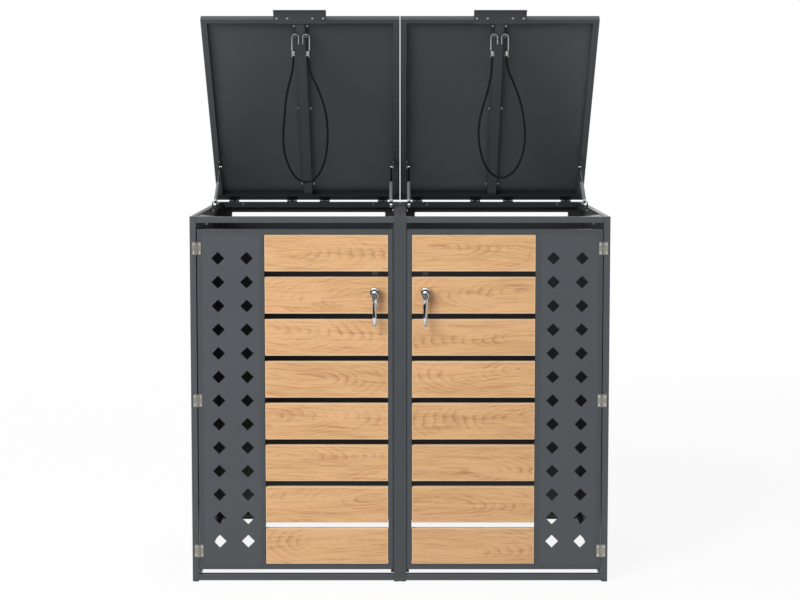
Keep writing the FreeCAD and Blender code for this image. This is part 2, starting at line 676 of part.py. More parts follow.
def lock_plug():
    """The key cylinder in the hub, with its keyway."""
    hub_front = -ROSETTE_THICK - HUB_CLEARANCE - HUB_THICK
    lock_z = SPINDLE_Z - LOCK_DROP
    front = hub_front - LOCK_PLUG_PROUD
    plug = rod(LOCK_PLUG_RADIUS, Vector(-SPINDLE_X, front, lock_z), Y_AXIS,
               LOCK_PLUG_DEPTH + LOCK_PLUG_PROUD)
    keyway = block((-SPINDLE_X - KEYWAY_WIDTH / 2, -SPINDLE_X + KEYWAY_WIDTH / 2),
                   (front - 1.0, front + KEYWAY_DEPTH),
                   (lock_z - KEYWAY_HEIGHT / 2, lock_z + KEYWAY_HEIGHT / 2))
    return plug.cut(keyway)


def latch_tongue():
    """The flat tongue on the spindle's inner end, turned up and clear of the post."""
    back = PLANK_BACK + NUT_THICK + TONGUE_CLEARANCE
    reach = SPINDLE_FROM_POST + TONGUE_OVERLAP
    half = TONGUE_WIDTH / 2
    bar = block((-SPINDLE_X - half, -SPINDLE_X + half), (back, back + TONGUE_THICK),
                (SPINDLE_Z, SPINDLE_Z + reach))
    boss = rod(half, Vector(-SPINDLE_X, back, SPINDLE_Z), Y_AXIS, TONGUE_THICK)
    tip = rod(half, Vector(-SPINDLE_X, back, SPINDLE_Z + reach), Y_AXIS, TONGUE_THICK)
    return fuse([bar, boss, tip])


# Lids, modelled shut and turned about the hinge line to the angle of the open stop

def opened(shape):
    """A shut lid's piece turned to the open stop."""
    copy = shape.copy()
    copy.rotate(Vector(0, LID_HINGE_Y, LID_HINGE_Z), X_AXIS, -LID_OPEN_ANGLE)
    return copy


def lid_skin():
    """The sheet on top, with its four edges folded down over the rim."""
    spans = [(-HALF, -LID_INNER), (LID_FRONT, DEPTH),
             (LID_UNDERSIDE + SKIN_LIP_STOP, SKIN_UNDERSIDE + SKIN)]
    skin = block(*spans)
    top_edges = on_plane(skin, 2, SKIN_UNDERSIDE + SKIN)
    corner_edges = [edge for edge in skin.Edges if abs(edge.tangentAt(0).dot(Z_AXIS)) > 0.9]
    skin = skin.makeFillet(LID_EDGE_RADIUS, top_edges + corner_edges)
    hollow = block((spans[0][0] + SKIN, spans[0][1] - SKIN), (spans[1][0] + SKIN, spans[1][1] - SKIN),
                   (spans[2][0] - 1.0, SKIN_UNDERSIDE))
    return skin.cut(hollow)


def lid_frame():
    """The rim of square tube under the skin, with its hollow open at the two ends of the sides."""
    height = (LID_UNDERSIDE, SKIN_UNDERSIDE)
    inner_height = (LID_UNDERSIDE + LID_TUBE_WALL, SKIN_UNDERSIDE - LID_TUBE_WALL)
    front = LID_FRONT + SKIN
    back = DEPTH - SKIN
    outer = -HALF + SKIN
    inner = -LID_INNER - SKIN
    members = []
    bores = []
    for low, high in ((outer, -RIM_OUTER), (-RIM_INNER, inner)):
        members.append(block((low, high), (front, back), height))
        bores.append(block((low + LID_TUBE_WALL, high - LID_TUBE_WALL), (front - 1.0, back + 1.0),
                           inner_height))
    for low, high in ((front, RIM_FRONT), (RIM_BACK, back)):
        members.append(block((outer, inner), (low, high), height))
        bores.append(block((outer + LID_TUBE_WALL, inner - LID_TUBE_WALL),
                           (low + LID_TUBE_WALL, high - LID_TUBE_WALL), inner_height))
    rim = fuse(members)
    rim = rim.makeFillet(LID_EDGE_RADIUS, on_plane(rim, 2, LID_UNDERSIDE))
    return rim.cut(fuse(bores))


def lid_rib():
    """The hat-shaped stiffener under the skin, with the two pegs that the cord's hooks hang on."""
    top = SKIN_UNDERSIDE
    crest = top - RIB_HEIGHT
    half = RIB_CREST / 2
    centre = -LID_CENTRE
    span = (RIM_FRONT, RIM_BACK)
    outline = [
        (-half - RIB_FLANGE, top), (-half - RIB_FLANGE, top - RIB_SHEET), (-half, top - RIB_SHEET),
        (-half, crest), (half, crest), (half, top - RIB_SHEET),
        (half + RIB_FLANGE, top - RIB_SHEET), (half + RIB_FLANGE, top),
        (half - RIB_SHEET, top), (half - RIB_SHEET, crest + RIB_SHEET),
        (-half + RIB_SHEET, crest + RIB_SHEET), (-half + RIB_SHEET, top),
    ]
    points = [Vector(centre + x, span[0], z) for x, z in outline]
    parts = [extruded(points, Vector(0, span[1] - span[0], 0))]
    direction = Vector(0, -math.cos(OPEN), -math.sin(OPEN))
    sunk = RIB_SHEET / math.sin(OPEN)
    for side in (-1, 1):
        x = centre + side * HOOK_SPACING / 2
        inside = Vector(x, PEG_ROOT_Y, FLANGE_FACE_Z) - direction * sunk
        peg = rod(PEG_RADIUS, inside, direction, sunk + PEG_REACH + PEG_NOSE)
        trim = block((x - 30.0, x + 30.0), (PEG_ROOT_Y - 60.0, PEG_ROOT_Y + 60.0), (top, top + 60.0))
        peg = peg.cut(trim)
        tab = block((x - PEG_TAB_WIDTH / 2, x + PEG_TAB_WIDTH / 2),
                    (PEG_ROOT_Y + PEG_TAB_START - PEG_TAB_LENGTH, PEG_ROOT_Y + PEG_TAB_START),
                    (FLANGE_FACE_Z - PEG_TAB_THICK, FLANGE_FACE_Z))
        crest_box = block((centre - half + RIB_SHEET, centre + half - RIB_SHEET), span,
                          (crest + RIB_SHEET, top + 1.0))
        parts += [tab.cut(crest_box), peg.cut(crest_box)]
    return fuse(parts)


def grip_tab():
    """The folded plate under the front rim that the lid is pulled by."""
    centre = -LID_CENTRE
    under = LID_UNDERSIDE
    lip = math.radians(GRIP_LIP_ANGLE)
    bend_y = LID_FRONT - GRIP_PROJECTION + GRIP_LIP * math.cos(lip)
    tip_y = bend_y - GRIP_LIP * math.cos(lip)
    tip_z = under - GRIP_LIP * math.sin(lip)
    # The thickness is set off square to the lip, and along the mitre at the bend
    mitre = GRIP_THICK * math.tan(lip / 2)
    outline = [
        Vector(0, RIM_FRONT, under), Vector(0, bend_y, under), Vector(0, tip_y, tip_z),
        Vector(0, tip_y + GRIP_THICK * math.sin(lip), tip_z - GRIP_THICK * math.cos(lip)),
        Vector(0, bend_y + mitre, under - GRIP_THICK), Vector(0, RIM_FRONT, under - GRIP_THICK),
    ]
    tab = extruded(outline, Vector(GRIP_WIDTH, 0, 0))
    tab.translate(Vector(centre - GRIP_WIDTH / 2, 0, 0))
    return tab


def lid_strut_brackets():
    """The two plates on the rim that reach down to the upper pivots of the struts."""
    pivot_y = LID_HINGE_Y - STRUT_LID_REACH
    pivot_z = LID_HINGE_Z - STRUT_LID_DROP
    radius = STRUT_PLATE_WIDTH / 2
    plates = []
    for x in (-RIM_OUTER, -RIM_INNER - STRUT_PLATE):
        plate = block((x, x + STRUT_PLATE), (pivot_y - radius, pivot_y + radius),
                      (pivot_z, SKIN_UNDERSIDE - LID_EDGE_RADIUS))
        end = rod(radius, Vector(x, pivot_y, pivot_z), X_AXIS, STRUT_PLATE)
        plates.append(fuse([plate, end]))
    return plates


# Gas struts, laid along +Y from the lower pivot and then raised to the open lid's angle

def placed_strut(shape, x):
    """A strut piece turned to its elevation with the lid open and set on its pivot."""
    copy = shape.copy()
    copy.rotate(Vector(0, 0, 0), X_AXIS, STRUT_OPEN_ELEVATION)
    copy.translate(Vector(x, STRUT_PIVOT_Y, STRUT_PIVOT_Z))
    return copy


def strut_cylinder():
    """The pressure tube with its lower eye."""
    half = STRUT_EYE_THICK / 2
    eye = rod(STRUT_EYE_RADIUS, Vector(-half, 0, 0), X_AXIS, STRUT_EYE_THICK)
    neck = rod(STRUT_NECK_RADIUS, Vector(0, 0, 0), Y_AXIS, STRUT_CYLINDER_START + 1.0)
    body = rod(STRUT_RADIUS, Vector(0, STRUT_CYLINDER_START, 0), Y_AXIS,
               STRUT_CYLINDER_END - STRUT_CYLINDER_START)
    ends = [edge for edge in body.Edges if edge.Closed]
    body = body.makeChamfer(min(STRUT_END_CHAMFER, 0.25 * STRUT_RADIUS), ends)
    whole = fuse([eye, neck, body])
    pivot = rod(STRUT_PIN_RADIUS + STRUT_PIN_CLEARANCE, Vector(-half - 1.0, 0, 0), X_AXIS,
                STRUT_EYE_THICK + 2.0)
    bore = rod(ROD_RADIUS + ROD_CLEARANCE, Vector(0, STRUT_BORE_END, 0), Y_AXIS,
               STRUT_CYLINDER_END - STRUT_BORE_END + 1.0)
    return whole.cut([pivot, bore])


def strut_rod(side, face_distance):
    """The piston rod with its upper end and the stud that faces the lid's plate."""
    half = STRUT_EYE_THICK / 2
    start = STRUT_CYLINDER_END - ROD_INSERTION
    collar_start = STRUT_OPEN_LENGTH - ROD_COLLAR_LENGTH
    bar = rod(ROD_RADIUS, Vector(0, start, 0), Y_AXIS, collar_start - start)
    collar = rod(STRUT_NECK_RADIUS, Vector(0, collar_start, 0), Y_AXIS, ROD_COLLAR_LENGTH)
    eye = rod(STRUT_EYE_RADIUS, Vector(-half, STRUT_OPEN_LENGTH, 0), X_AXIS, STRUT_EYE_THICK)
    stud = rod(STRUT_STUD_RADIUS, Vector(side * half, STRUT_OPEN_LENGTH, 0), X_AXIS * side,
               face_distance - half)
    return bar.fuse([collar, eye, stud])


def rail_strut_bracket(rail_face, rim_face, strut_x):
    """The plate that stands up from the rail inside the shut lid's rim, with the strut's pin."""
    inward = math.copysign(1.0, rim_face - rail_face)
    half = RAIL_PLATE_WIDTH / 2
    width = (STRUT_PIVOT_Y - half, STRUT_PIVOT_Y + half)
    foot_z = TOP_RAIL_BOTTOM + RAIL_PLATE_EDGE
    # Distances from the rail's face
    plate_start = abs(rim_face - rail_face) + RAIL_PLATE_RIM_GAP
    plate_end = plate_start + STRUT_PLATE
    eye_start = abs(strut_x - rail_face) - STRUT_EYE_THICK / 2 - KNUCKLE_GAP
    eye_end = abs(strut_x - rail_face) + STRUT_EYE_THICK / 2 + KNUCKLE_GAP

    def across(start, end):
        ends = (rail_face + inward * start, rail_face + inward * end)
        return min(ends), max(ends)

    def disc(radius, start, end):
        centre = Vector(rail_face + inward * start, STRUT_PIVOT_Y, STRUT_PIVOT_Z)
        return rod(radius, centre, X_AXIS * inward, end - start)

    return fuse([
        block(across(0.0, plate_end), width, (foot_z, FRAME_TOP - RAIL_PLATE_EDGE)),
        block(across(plate_start, plate_end), width, (foot_z, STRUT_PIVOT_Z)),
        disc(half, plate_start, plate_end),
        disc(STRUT_COLLAR_RADIUS, plate_end, eye_start),
        disc(STRUT_PIN_RADIUS, plate_start, eye_end),
        disc(STRUT_CLIP_RADIUS, eye_end, eye_end + STRUT_CLIP_THICK),
    ])


# Elastic cords and their hooks, as they hang from the open lid

def wire_through(points_and_arcs):
    """A round wire along straight runs and arcs that meet tangent."""
    path = Part.Wire([piece.toShape() for piece in points_and_arcs])
    start = path.Edges[0].valueAt(path.Edges[0].FirstParameter)
    tangent = path.Edges[0].tangentAt(path.Edges[0].FirstParameter)
    ring = Part.Wire([Part.makeCircle(HOOK_WIRE_RADIUS, start, tangent)])
    return path.makePipeShell([ring], True, False)


def cord_hook(centre_x, side):
    """A bent wire hook over its peg, with the ferrule that grips the cord's end."""
    y = HOOK_PLANE_Y
    bend_z = HOOK_APEX_Z - HOOK_HALF_WIDTH
    outer = centre_x + side * HOOK_HALF_WIDTH
    inner = centre_x - side * HOOK_HALF_WIDTH
    leg = Part.LineSegment(Vector(outer, y, bend_z - HOOK_LEG_LENGTH), Vector(outer, y, bend_z))
    bend = Part.Arc(Vector(outer, y, bend_z), Vector(centre_x, y, HOOK_APEX_Z), Vector(inner, y, bend_z))
    tip = Part.LineSegment(Vector(inner, y, bend_z), Vector(inner, y, bend_z - HOOK_TIP_LENGTH))
    wire = wire_through([leg, bend, tip])
    ferrule_x = centre_x + side * FERRULE_SHIFT
    top = bend_z - HOOK_LEG_LENGTH
    ridge = FERRULE_LENGTH / FERRULE_TURNS
    profile = [Vector(0, 0, 0), Vector(FERRULE_WAIST, 0, 0)]
    for turn in range(FERRULE_TURNS):
        profile.append(Vector(FERRULE_RADIUS, 0, -(turn + 0.5) * ridge))
        profile.append(Vector(FERRULE_WAIST, 0, -(turn + 1) * ridge))
    profile.append(Vector(0, 0, -FERRULE_LENGTH))
    face = Part.Face(Part.makePolygon(profile + [profile[0]]))
    ferrule = face.revolve(Vector(0, 0, 0), Z_AXIS, 360)
    ferrule.translate(Vector(ferrule_x, y, top + FERRULE_WAIST / 2))
    return fuse([wire, ferrule])


def ferrule_end(centre_x, side):
    """Where the cord leaves a hook's ferrule."""
    z = HOOK_APEX_Z - HOOK_HALF_WIDTH - HOOK_LEG_LENGTH + FERRULE_WAIST / 2 - FERRULE_LENGTH
    return Vector(centre_x + side * FERRULE_SHIFT, HOOK_PLANE_Y, z)


def cord_route(lid_centre, middle_points):
    """All points of a hanging cord, from its left ferrule to its right one."""
    left = ferrule_end(lid_centre - HOOK_SPACING / 2, -1)
    right = ferrule_end(lid_centre + HOOK_SPACING / 2, 1)
    down = Vector(0, 0, -CORD_START_RUN)
    middle = [Vector(lid_centre + across, HOOK_PLANE_Y, HOOK_APEX_Z - drop)
              for across, drop in middle_points]
    return [left, left + down] + middle + [right + down, right]


def cord_tube(points):
    """A round cord along straight runs and the largest tangent arcs between them."""
    pieces = []
    radii = []
    at = points[0]
    for before, corner, after in zip(points, points[1:], points[2:]):
        into = corner - before
        out = after - corner
        turn = into.getAngle(out)
        reach = 0.45 * min(into.Length, out.Length)
        radii.append(reach / math.tan(turn / 2))
        start = corner - into.normalize() * reach
        end = corner + out.normalize() * reach
        to_centre = (end - corner).normalize() + (start - corner).normalize()
        middle = corner + to_centre.normalize() * radii[-1] * (1 / math.cos(turn / 2) - 1)
        pieces.append(Part.LineSegment(at, start))
        pieces.append(Part.Arc(start, middle, end))
        at = end
    pieces.append(Part.LineSegment(at, points[-1]))
    path = Part.Wire([piece.toShape() for piece in pieces])
    ring = Part.Wire([Part.makeCircle(CORD_DIAMETER / 2, points[0], points[1] - points[0])])
    tube = path.makePipeShell([ring], True, False)
    section = math.pi * CORD_DIAMETER ** 2 / 4
    print("cord: length %.0f, tightest arc %.0f, volume over section times length %.4f"
          % (path.Length, min(radii), tube.Volume / (section * path.Length)))
    return tube


def save_frame():
    """The fixed pieces of the store."""
    outer = (-HALF, -BAY_OUTER)
    inner = (-BAY_INNER, 0.0)
    front = (0.0, TUBE)
    back = (DEPTH - TUBE, DEPTH)
    save("front_posts", posts(outer, front))
    save("rear_posts", posts(outer, back))
    save("centre_posts", posts(inner, front) + posts(inner, back))
    save("front_rails", cross_rails(front))
    save("rear_rails", cross_rails(back))
    save("outer_side_rails", side_rails(outer))
    save("centre_rails", side_rails(inner))
    save("feet", feet())
    save("left_side_panel", [side_panel()])
    save("right_side_panel", [mirrored(side_panel())])
    save("rear_panels", [rear_panel(), mirrored(rear_panel())])
    save("corner_gussets", [corner_gusset(), mirrored(corner_gusset())])
    save("frame_bolts", frame_bolts())
    save("centre_cover_strip", [centre_cover_strip()])
    save("door_stop_strip", [door_stop_strip()])
    brackets = [
        rail_strut_bracket(-BAY_OUTER, -RIM_OUTER, -STRUT_OUTER_X),
        rail_strut_bracket(-BAY_INNER, -RIM_INNER, -STRUT_INNER_X),
    ]
    save("strut_rail_brackets", brackets + [mirrored(bracket) for bracket in brackets])


def save_hinges():
    """Leaves and pins of all the doors and lids."""
    post_leaves, door_leaves, door_pins = door_hinges()
    rail_leaves, lid_leaves, lid_pins = lid_hinges()
    save("door_hinge_post_leaves", post_leaves + [mirrored(leaf) for leaf in post_leaves])
    save("door_hinge_pins", door_pins + [mirrored(pin) for pin in door_pins])
    save("lid_hinge_rail_leaves", rail_leaves + [mirrored(leaf) for leaf in rail_leaves])
    save("lid_hinge_pins", lid_pins + [mirrored(pin) for pin in lid_pins])
    open_leaves = [opened(leaf) for leaf in lid_leaves]
    save("left_door_hinge_leaves", door_leaves)
    save("right_door_hinge_leaves", [mirrored(leaf) for leaf in door_leaves])
    save("left_lid_hinge_leaves", open_leaves)
    save("right_lid_hinge_leaves", [mirrored(leaf) for leaf in open_leaves])


def save_both(name, left_solids):
    """A left piece and its mirrored twin."""
    save("left_" + name, left_solids)
    save("right_" + name, [mirrored(solid) for solid in left_solids])


def main():
    os.makedirs("parts", exist_ok=True)
    save_frame()
    save_hinges()
    save_both("door_frame", [door_frame()])
    save_both("door_perforated_sheet", [perforated_sheet()])
    save_both("door_planks", door_planks())
    save_both("lock_housing", [lock_housing()])
    save_both("handle_lever", [handle_lever()])
    save_both("lock_plug", [lock_plug()])
    save_both("latch_tongue", [latch_tongue()])
    save_both("lid_skin", [opened(lid_skin())])
    save_both("lid_frame", [opened(lid_frame())])
    save_both("lid_rib", [opened(lid_rib())])
    save_both("lid_grip_tab", [opened(grip_tab())])
    save_both("lid_strut_brackets", [opened(plate) for plate in lid_strut_brackets()])
    print("strut: open %.1f at %.2f degrees, shut %.1f at %.2f degrees"
          % (STRUT_OPEN_LENGTH, STRUT_OPEN_ELEVATION, STRUT_SHUT_LENGTH, STRUT_SHUT_ELEVATION))
    face_distance = STRUT_RADIUS + STRUT_LANE_GAP - STRUT_STUD_GAP
    for place, x, side in (("outer", -STRUT_OUTER_X, -1), ("inner", -STRUT_INNER_X, 1)):
        save_both(place + "_strut_cylinder", [placed_strut(strut_cylinder(), x)])
        save_both(place + "_strut_rod", [placed_strut(strut_rod(side, face_distance), x)])
    hooks = [cord_hook(-LID_CENTRE + side * HOOK_SPACING / 2, side) for side in (-1, 1)]
    save_both("cord_hooks", hooks)
    save("left_elastic_cord", [cord_tube(cord_route(-LID_CENTRE, LEFT_CORD_POINTS))])
    save("right_elastic_cord", [cord_tube(cord_route(LID_CENTRE, RIGHT_CORD_POINTS))])


main()
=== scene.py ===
import math

import bpy
from mathutils import Matrix, Vector


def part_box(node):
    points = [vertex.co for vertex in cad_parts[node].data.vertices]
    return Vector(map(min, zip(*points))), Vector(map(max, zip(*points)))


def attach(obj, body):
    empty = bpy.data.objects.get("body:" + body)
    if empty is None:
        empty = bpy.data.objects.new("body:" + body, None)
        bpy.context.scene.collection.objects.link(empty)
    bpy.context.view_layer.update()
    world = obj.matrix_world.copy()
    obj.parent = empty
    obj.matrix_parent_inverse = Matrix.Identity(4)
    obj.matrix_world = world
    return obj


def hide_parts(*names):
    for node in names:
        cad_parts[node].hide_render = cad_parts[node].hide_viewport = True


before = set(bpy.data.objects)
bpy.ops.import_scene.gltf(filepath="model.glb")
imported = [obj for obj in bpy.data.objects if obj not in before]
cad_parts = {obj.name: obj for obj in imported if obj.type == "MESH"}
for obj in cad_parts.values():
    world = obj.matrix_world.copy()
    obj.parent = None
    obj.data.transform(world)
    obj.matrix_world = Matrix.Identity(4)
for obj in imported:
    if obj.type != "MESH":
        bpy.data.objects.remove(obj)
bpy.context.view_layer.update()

# Wheelie bin store for two bins, as a piece of garden furniture: a welded steel frame on plastic
# feet, sheet sides and back, two doors with oak boards, two lids held open by gas struts.
# Everything is in metres with the ground at z = 0 and the front at negative y.

# The studio: a white floor that runs out to a white world, a large soft lamp at the upper left,
# weak ones at the right and behind, and a world that is grey only for light that falls on the store.
FLOOR_SIZE = 60.0
FLOOR_GLOW = 0.90
GLOW_FULL_FROM = 6.0
SKY_LIGHT = 0.34
SOFT_BOX_GLOW = 3.0


def fill(tree, socket, value):
    """Links a socket to another node's output, or sets it to a value."""
    if isinstance(value, bpy.types.NodeSocket):
        tree.links.new(value, socket)
    else:
        socket.default_value = value


def add_node(tree, kind, settings=None, **inputs):
    """A shader node with its settings made and its sockets filled."""
    made = tree.nodes.new(kind)
    for setting, value in (settings or {}).items():
        setattr(made, setting, value)
    for label, value in inputs.items():
        fill(tree, made.inputs[label.replace("_", " ")], value)
    return made


def calc(tree, operation, *values, clamp=False):
    """The output of one arithmetic node."""
    made = add_node(tree, "ShaderNodeMath", {"operation": operation, "use_clamp": clamp})
    for index, value in enumerate(values):
        fill(tree, made.inputs[index], value)
    return made.outputs[0]


def product(tree, first, *others):
    """Several values multiplied."""
    for other in others:
        first = calc(tree, "MULTIPLY", first, other)
    return first


def scaled(tree, value, by, plus, clamp=False):
    """A value times one number, plus another."""
    return calc(tree, "MULTIPLY_ADD", value, by, plus, clamp=clamp)


def minus(tree, value, less):
    """One value less another."""
    return calc(tree, "SUBTRACT", value, less)


def ramp(tree, value, start, end, low=0.0, high=1.0):
    """Low where a value is at start, high where it is at end, and straight in between."""
    return add_node(tree, "ShaderNodeMapRange", Value=value, From_Min=start, From_Max=end,
                    To_Min=low, To_Max=high).outputs[0]


def apart(tree, value, centre):
    """How far a value is from a centre."""
    return calc(tree, "ABSOLUTE", minus(tree, value, centre))


def parts(tree, vector):
    """The X, Y and Z of a vector."""
    return add_node(tree, "ShaderNodeSeparateXYZ", Vector=vector).outputs


def on_object(tree):
    """Places on the piece in metres, which move with it."""
    return add_node(tree, "ShaderNodeTexCoord").outputs["Object"]


def blend_value(tree, factor, low_value, high_value):
    """A mix of two values."""
    mix = add_node(tree, "ShaderNodeMix", {"data_type": "FLOAT"})
    for index, value in ((0, factor), (2, low_value), (3, high_value)):
        fill(tree, mix.inputs[index], value)
    return mix.outputs[0]


def seen_rays(tree):
    """1 where the camera sees the surface, straight or in metal or glass, and 0 for other light."""
    path = add_node(tree, "ShaderNodeLightPath").outputs
    straight = calc(tree, "MAXIMUM", path["Is Camera Ray"], path["Is Glossy Ray"])
    return calc(tree, "MAXIMUM", straight, path["Is Transmission Ray"])


def add_object(name, content):
    """An object in the scene round a mesh, curve, lamp or camera."""
    made = bpy.data.objects.new(name, content)
    bpy.context.scene.collection.objects.link(made)
    return made


def object_from(name, vertices, faces, smooth=True):
    """A mesh object from its points and faces."""
    mesh = bpy.data.meshes.new(name)
    mesh.from_pydata([tuple(point) for point in vertices], [], faces)
    mesh.polygons.foreach_set("use_smooth", [smooth] * len(mesh.polygons))
    mesh.update()
    return add_object(name, mesh)


half = FLOOR_SIZE / 2
floor = object_from("studio_floor", [(-half, -half, 0), (half, -half, 0), (half, half, 0), (-half, half, 0)],
                    [(0, 1, 2, 3)])
floor_finish = bpy.data.materials.new("studio_floor")
floor_finish.use_nodes = True
tree = floor_finish.node_tree
tree.nodes.clear()
seen = seen_rays(tree)
matt = add_node(tree, "ShaderNodeBsdfDiffuse", Color=scaled(tree, seen, 0.6, 0.3))
glow = add_node(tree, "ShaderNodeEmission", Color=(1, 1, 1, 1), Strength=1.0)
away = add_node(tree, "ShaderNodeVectorMath", {"operation": "LENGTH"},
                Vector=on_object(tree)).outputs["Value"]
share = ramp(tree, away, GLOW_FULL_FROM / 3, GLOW_FULL_FROM, FLOOR_GLOW, 1.0)
mixed = add_node(tree, "ShaderNodeMixShader", Fac=product(tree, seen, share))
tree.links.new(matt.outputs[0], mixed.inputs[1])
tree.links.new(glow.outputs[0], mixed.inputs[2])
add_node(tree, "ShaderNodeOutputMaterial", Surface=mixed.outputs[0])
floor.data.materials.append(floor_finish)

world = bpy.data.worlds.new("studio")
bpy.context.scene.world = world
world.use_nodes = True
tree = world.node_tree
tree.nodes.clear()
direction = parts(tree, add_node(tree, "ShaderNodeTexCoord").outputs["Generated"])
# Behind the camera the room is dim, and a black screen stands on the left, which shapes the chrome
left_side = ramp(tree, direction["X"], 0.06, -0.06)
in_front = ramp(tree, scaled(tree, left_side, -0.75, direction["Y"]), 0.1, -0.3)
low_down = ramp(tree, direction["Z"], 0.80, 0.60)
dimming = product(tree, in_front, low_down, scaled(tree, left_side, 0.36, 0.62))
# The key lamp's own picture in the metal, high up on the left
in_height = ramp(tree, apart(tree, direction["Z"], 0.80), 0.24, 0.18)
in_width = ramp(tree, apart(tree, direction["X"], -0.30), 0.48, 0.40)
soft_box = product(tree, in_height, in_width, calc(tree, "LESS_THAN", direction["Y"], 0.0))
mirrored_room = scaled(tree, soft_box, SOFT_BOX_GLOW, minus(tree, 1.0, dimming))
in_metal = add_node(tree, "ShaderNodeLightPath").outputs["Is Glossy Ray"]
room = blend_value(tree, in_metal, 1.0, mirrored_room)
strength = blend_value(tree, seen_rays(tree), SKY_LIGHT, room)
sky = add_node(tree, "ShaderNodeBackground", Color=(1, 1, 1, 1), Strength=strength)
add_node(tree, "ShaderNodeOutputWorld", Surface=sky.outputs[0])


def lamp(name, place, aim, size, power):
    """A soft square lamp that points from its place at an aim."""
    light = bpy.data.lights.new(name, "AREA")
    light.size = size
    light.energy = power
    made = add_object(name, light)
    made.location = place
    made.rotation_euler = (Vector(aim) - Vector(place)).to_track_quat("-Z", "Y").to_euler()
    return made


key_lamp = lamp("key_lamp", place=(-4.2, -5.2, 4.8), aim=(0, 0, 0.9), size=4.6, power=645)
key_lamp.visible_glossy = False
lamp("fill_lamp", place=(4.6, -5.0, 2.6), aim=(0, 0, 0.8), size=3.5, power=15)
lamp("back_lamp", place=(0.5, 4.5, 4.0), aim=(0, 0, 0.9), size=2.5, power=80)

# The photograph's view: straight from the front, a little above the middle, with a long lens. A
# small pitch and shift together stand for the photograph's level camera with its large shift.
FRONT_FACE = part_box("front_posts")[0].y
CAMERA_DISTANCE = 5.1884
CAMERA_HEIGHT = 1.5188
CAMERA_PITCH = math.radians(4.292)
view = bpy.data.cameras.new("photo_view")
view.sensor_width = 36.0
view.lens = 74.71
view.shift_y = -0.09
camera = add_object("photo_view", view)
camera.location = (0, FRONT_FACE - CAMERA_DISTANCE, CAMERA_HEIGHT)
camera.rotation_euler = (math.pi / 2 - CAMERA_PITCH, 0, 0)
bpy.context.scene.camera = camera
bpy.context.scene.view_settings.view_transform = "Standard"

# The frame: 20 mm square steel tube, welded and powder coated in anthracite. The coat has a fine
# orange peel, a faint cloudiness and rub marks that change its sheen.
FRAME_TUBES = ["front_posts", "centre_posts", "rear_posts", "front_rails", "rear_rails",
               "outer_side_rails", "centre_rails"]
ANTHRACITE = (0.0695, 0.0765, 0.0850, 1)
COAT_RELIEF = 0.0004
SHADED_INSIDE = 0.30
BAY_CENTRE = 0.33
BEHIND_FRONT_POSTS = FRONT_FACE + 0.024
SURFACE = [("Colour", "colour"), ("Roughness", "value"), ("Height", "value")]


def new_group(name, inputs, outputs):
    """A node group with named sockets; returns its tree, its inputs' outputs and its outputs' inputs."""
    tree = bpy.data.node_groups.new(name, "ShaderNodeTree")
    kinds = {"colour": "NodeSocketColor", "value": "NodeSocketFloat", "vector": "NodeSocketVector"}
    for label, kind, start in inputs:
        socket = tree.interface.new_socket(name=label, in_out="INPUT", socket_type=kinds[kind])
        if start is not None:
            socket.default_value = start
    for label, kind in outputs:
        tree.interface.new_socket(name=label, in_out="OUTPUT", socket_type=kinds[kind])
    return tree, tree.nodes.new("NodeGroupInput").outputs, tree.nodes.new("NodeGroupOutput").inputs


def new_finish(name, **constants):
    """A material with one Principled shader; its constant sockets are set on the shader itself."""
    made = bpy.data.materials.new(name)
    made.use_nodes = True
    shader = made.node_tree.nodes["Principled BSDF"]
    for label, value in constants.items():
        shader.inputs[label.replace("_", " ")].default_value = value
    return made, made.node_tree, shader


def place_group(tree, group, **inputs):
    """A node group in a material, with its own values."""
    return add_node(tree, "ShaderNodeGroup", {"node_tree": group}, **inputs).outputs


def put_out(tree, result, **values):
    """Links a group's outputs."""
    for label, value in values.items():
        tree.links.new(value, result[label])


def noise(tree, place, scale, detail, **more):
    """Noise between 0 and 1, in so many lumps to the metre."""
    return add_node(tree, "ShaderNodeTexNoise", Vector=place, Scale=scale, Detail=detail, **more).outputs[0]


def blend_colour(tree, factor, low_colour, high_colour, mode="MIX"):
    """A mix of two colours."""
    mix = add_node(tree, "ShaderNodeMix", {"data_type": "RGBA", "blend_type": mode})
    for index, value in ((0, factor), (6, low_colour), (7, high_colour)):
        fill(tree, mix.inputs[index], value)
    return mix.outputs[2]


def shaded(tree, colour, shade):
    """A colour made brighter or darker by a value."""
    tint = add_node(tree, "ShaderNodeCombineXYZ", X=shade, Y=shade, Z=shade).outputs[0]
    return blend_colour(tree, 1.0, colour, tint, "MULTIPLY")


def give_surface(tree, shader, colour, roughness, height=None, strength=0.0, relief=0.0):
    """Links a colour and a roughness to the shader, and a height as its bump."""
    tree.links.new(colour, shader.inputs["Base Color"])
    tree.links.new(roughness, shader.inputs["Roughness"])
    if height is not None:
        bump = add_node(tree, "ShaderNodeBump", Height=height, Strength=strength, Distance=relief)
        tree.links.new(bump.outputs["Normal"], shader.inputs["Normal"])


def paint(finish, *nodes):
    """Gives CAD pieces a finish."""
    for name in nodes:
        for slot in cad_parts[name].material_slots:
            slot.material = finish


coat, given, result = new_group(
    "powder_coat",
    [("Vector", "vector", None), ("Colour", "colour", ANTHRACITE), ("Cloud", "value", 0.05),
     ("Sheen", "value", 0.45)], SURFACE)
cloud = noise(coat, given["Vector"], 5.0, 3.0)
fleck = noise(coat, given["Vector"], 700.0, 1.0)
rub = noise(coat, given["Vector"], 22.0, 4.0, Roughness=0.65, Distortion=0.6)
shade = scaled(coat, minus(coat, cloud, 0.5), given["Cloud"], 1.0)
shade = scaled(coat, minus(coat, fleck, 0.5), 0.10, shade)
put_out(coat, result, Colour=shaded(coat, given["Colour"], shade),
        Roughness=scaled(coat, minus(coat, rub, 0.5), 0.22, given["Sheen"]),
        Height=scaled(coat, rub, 0.25, fleck))


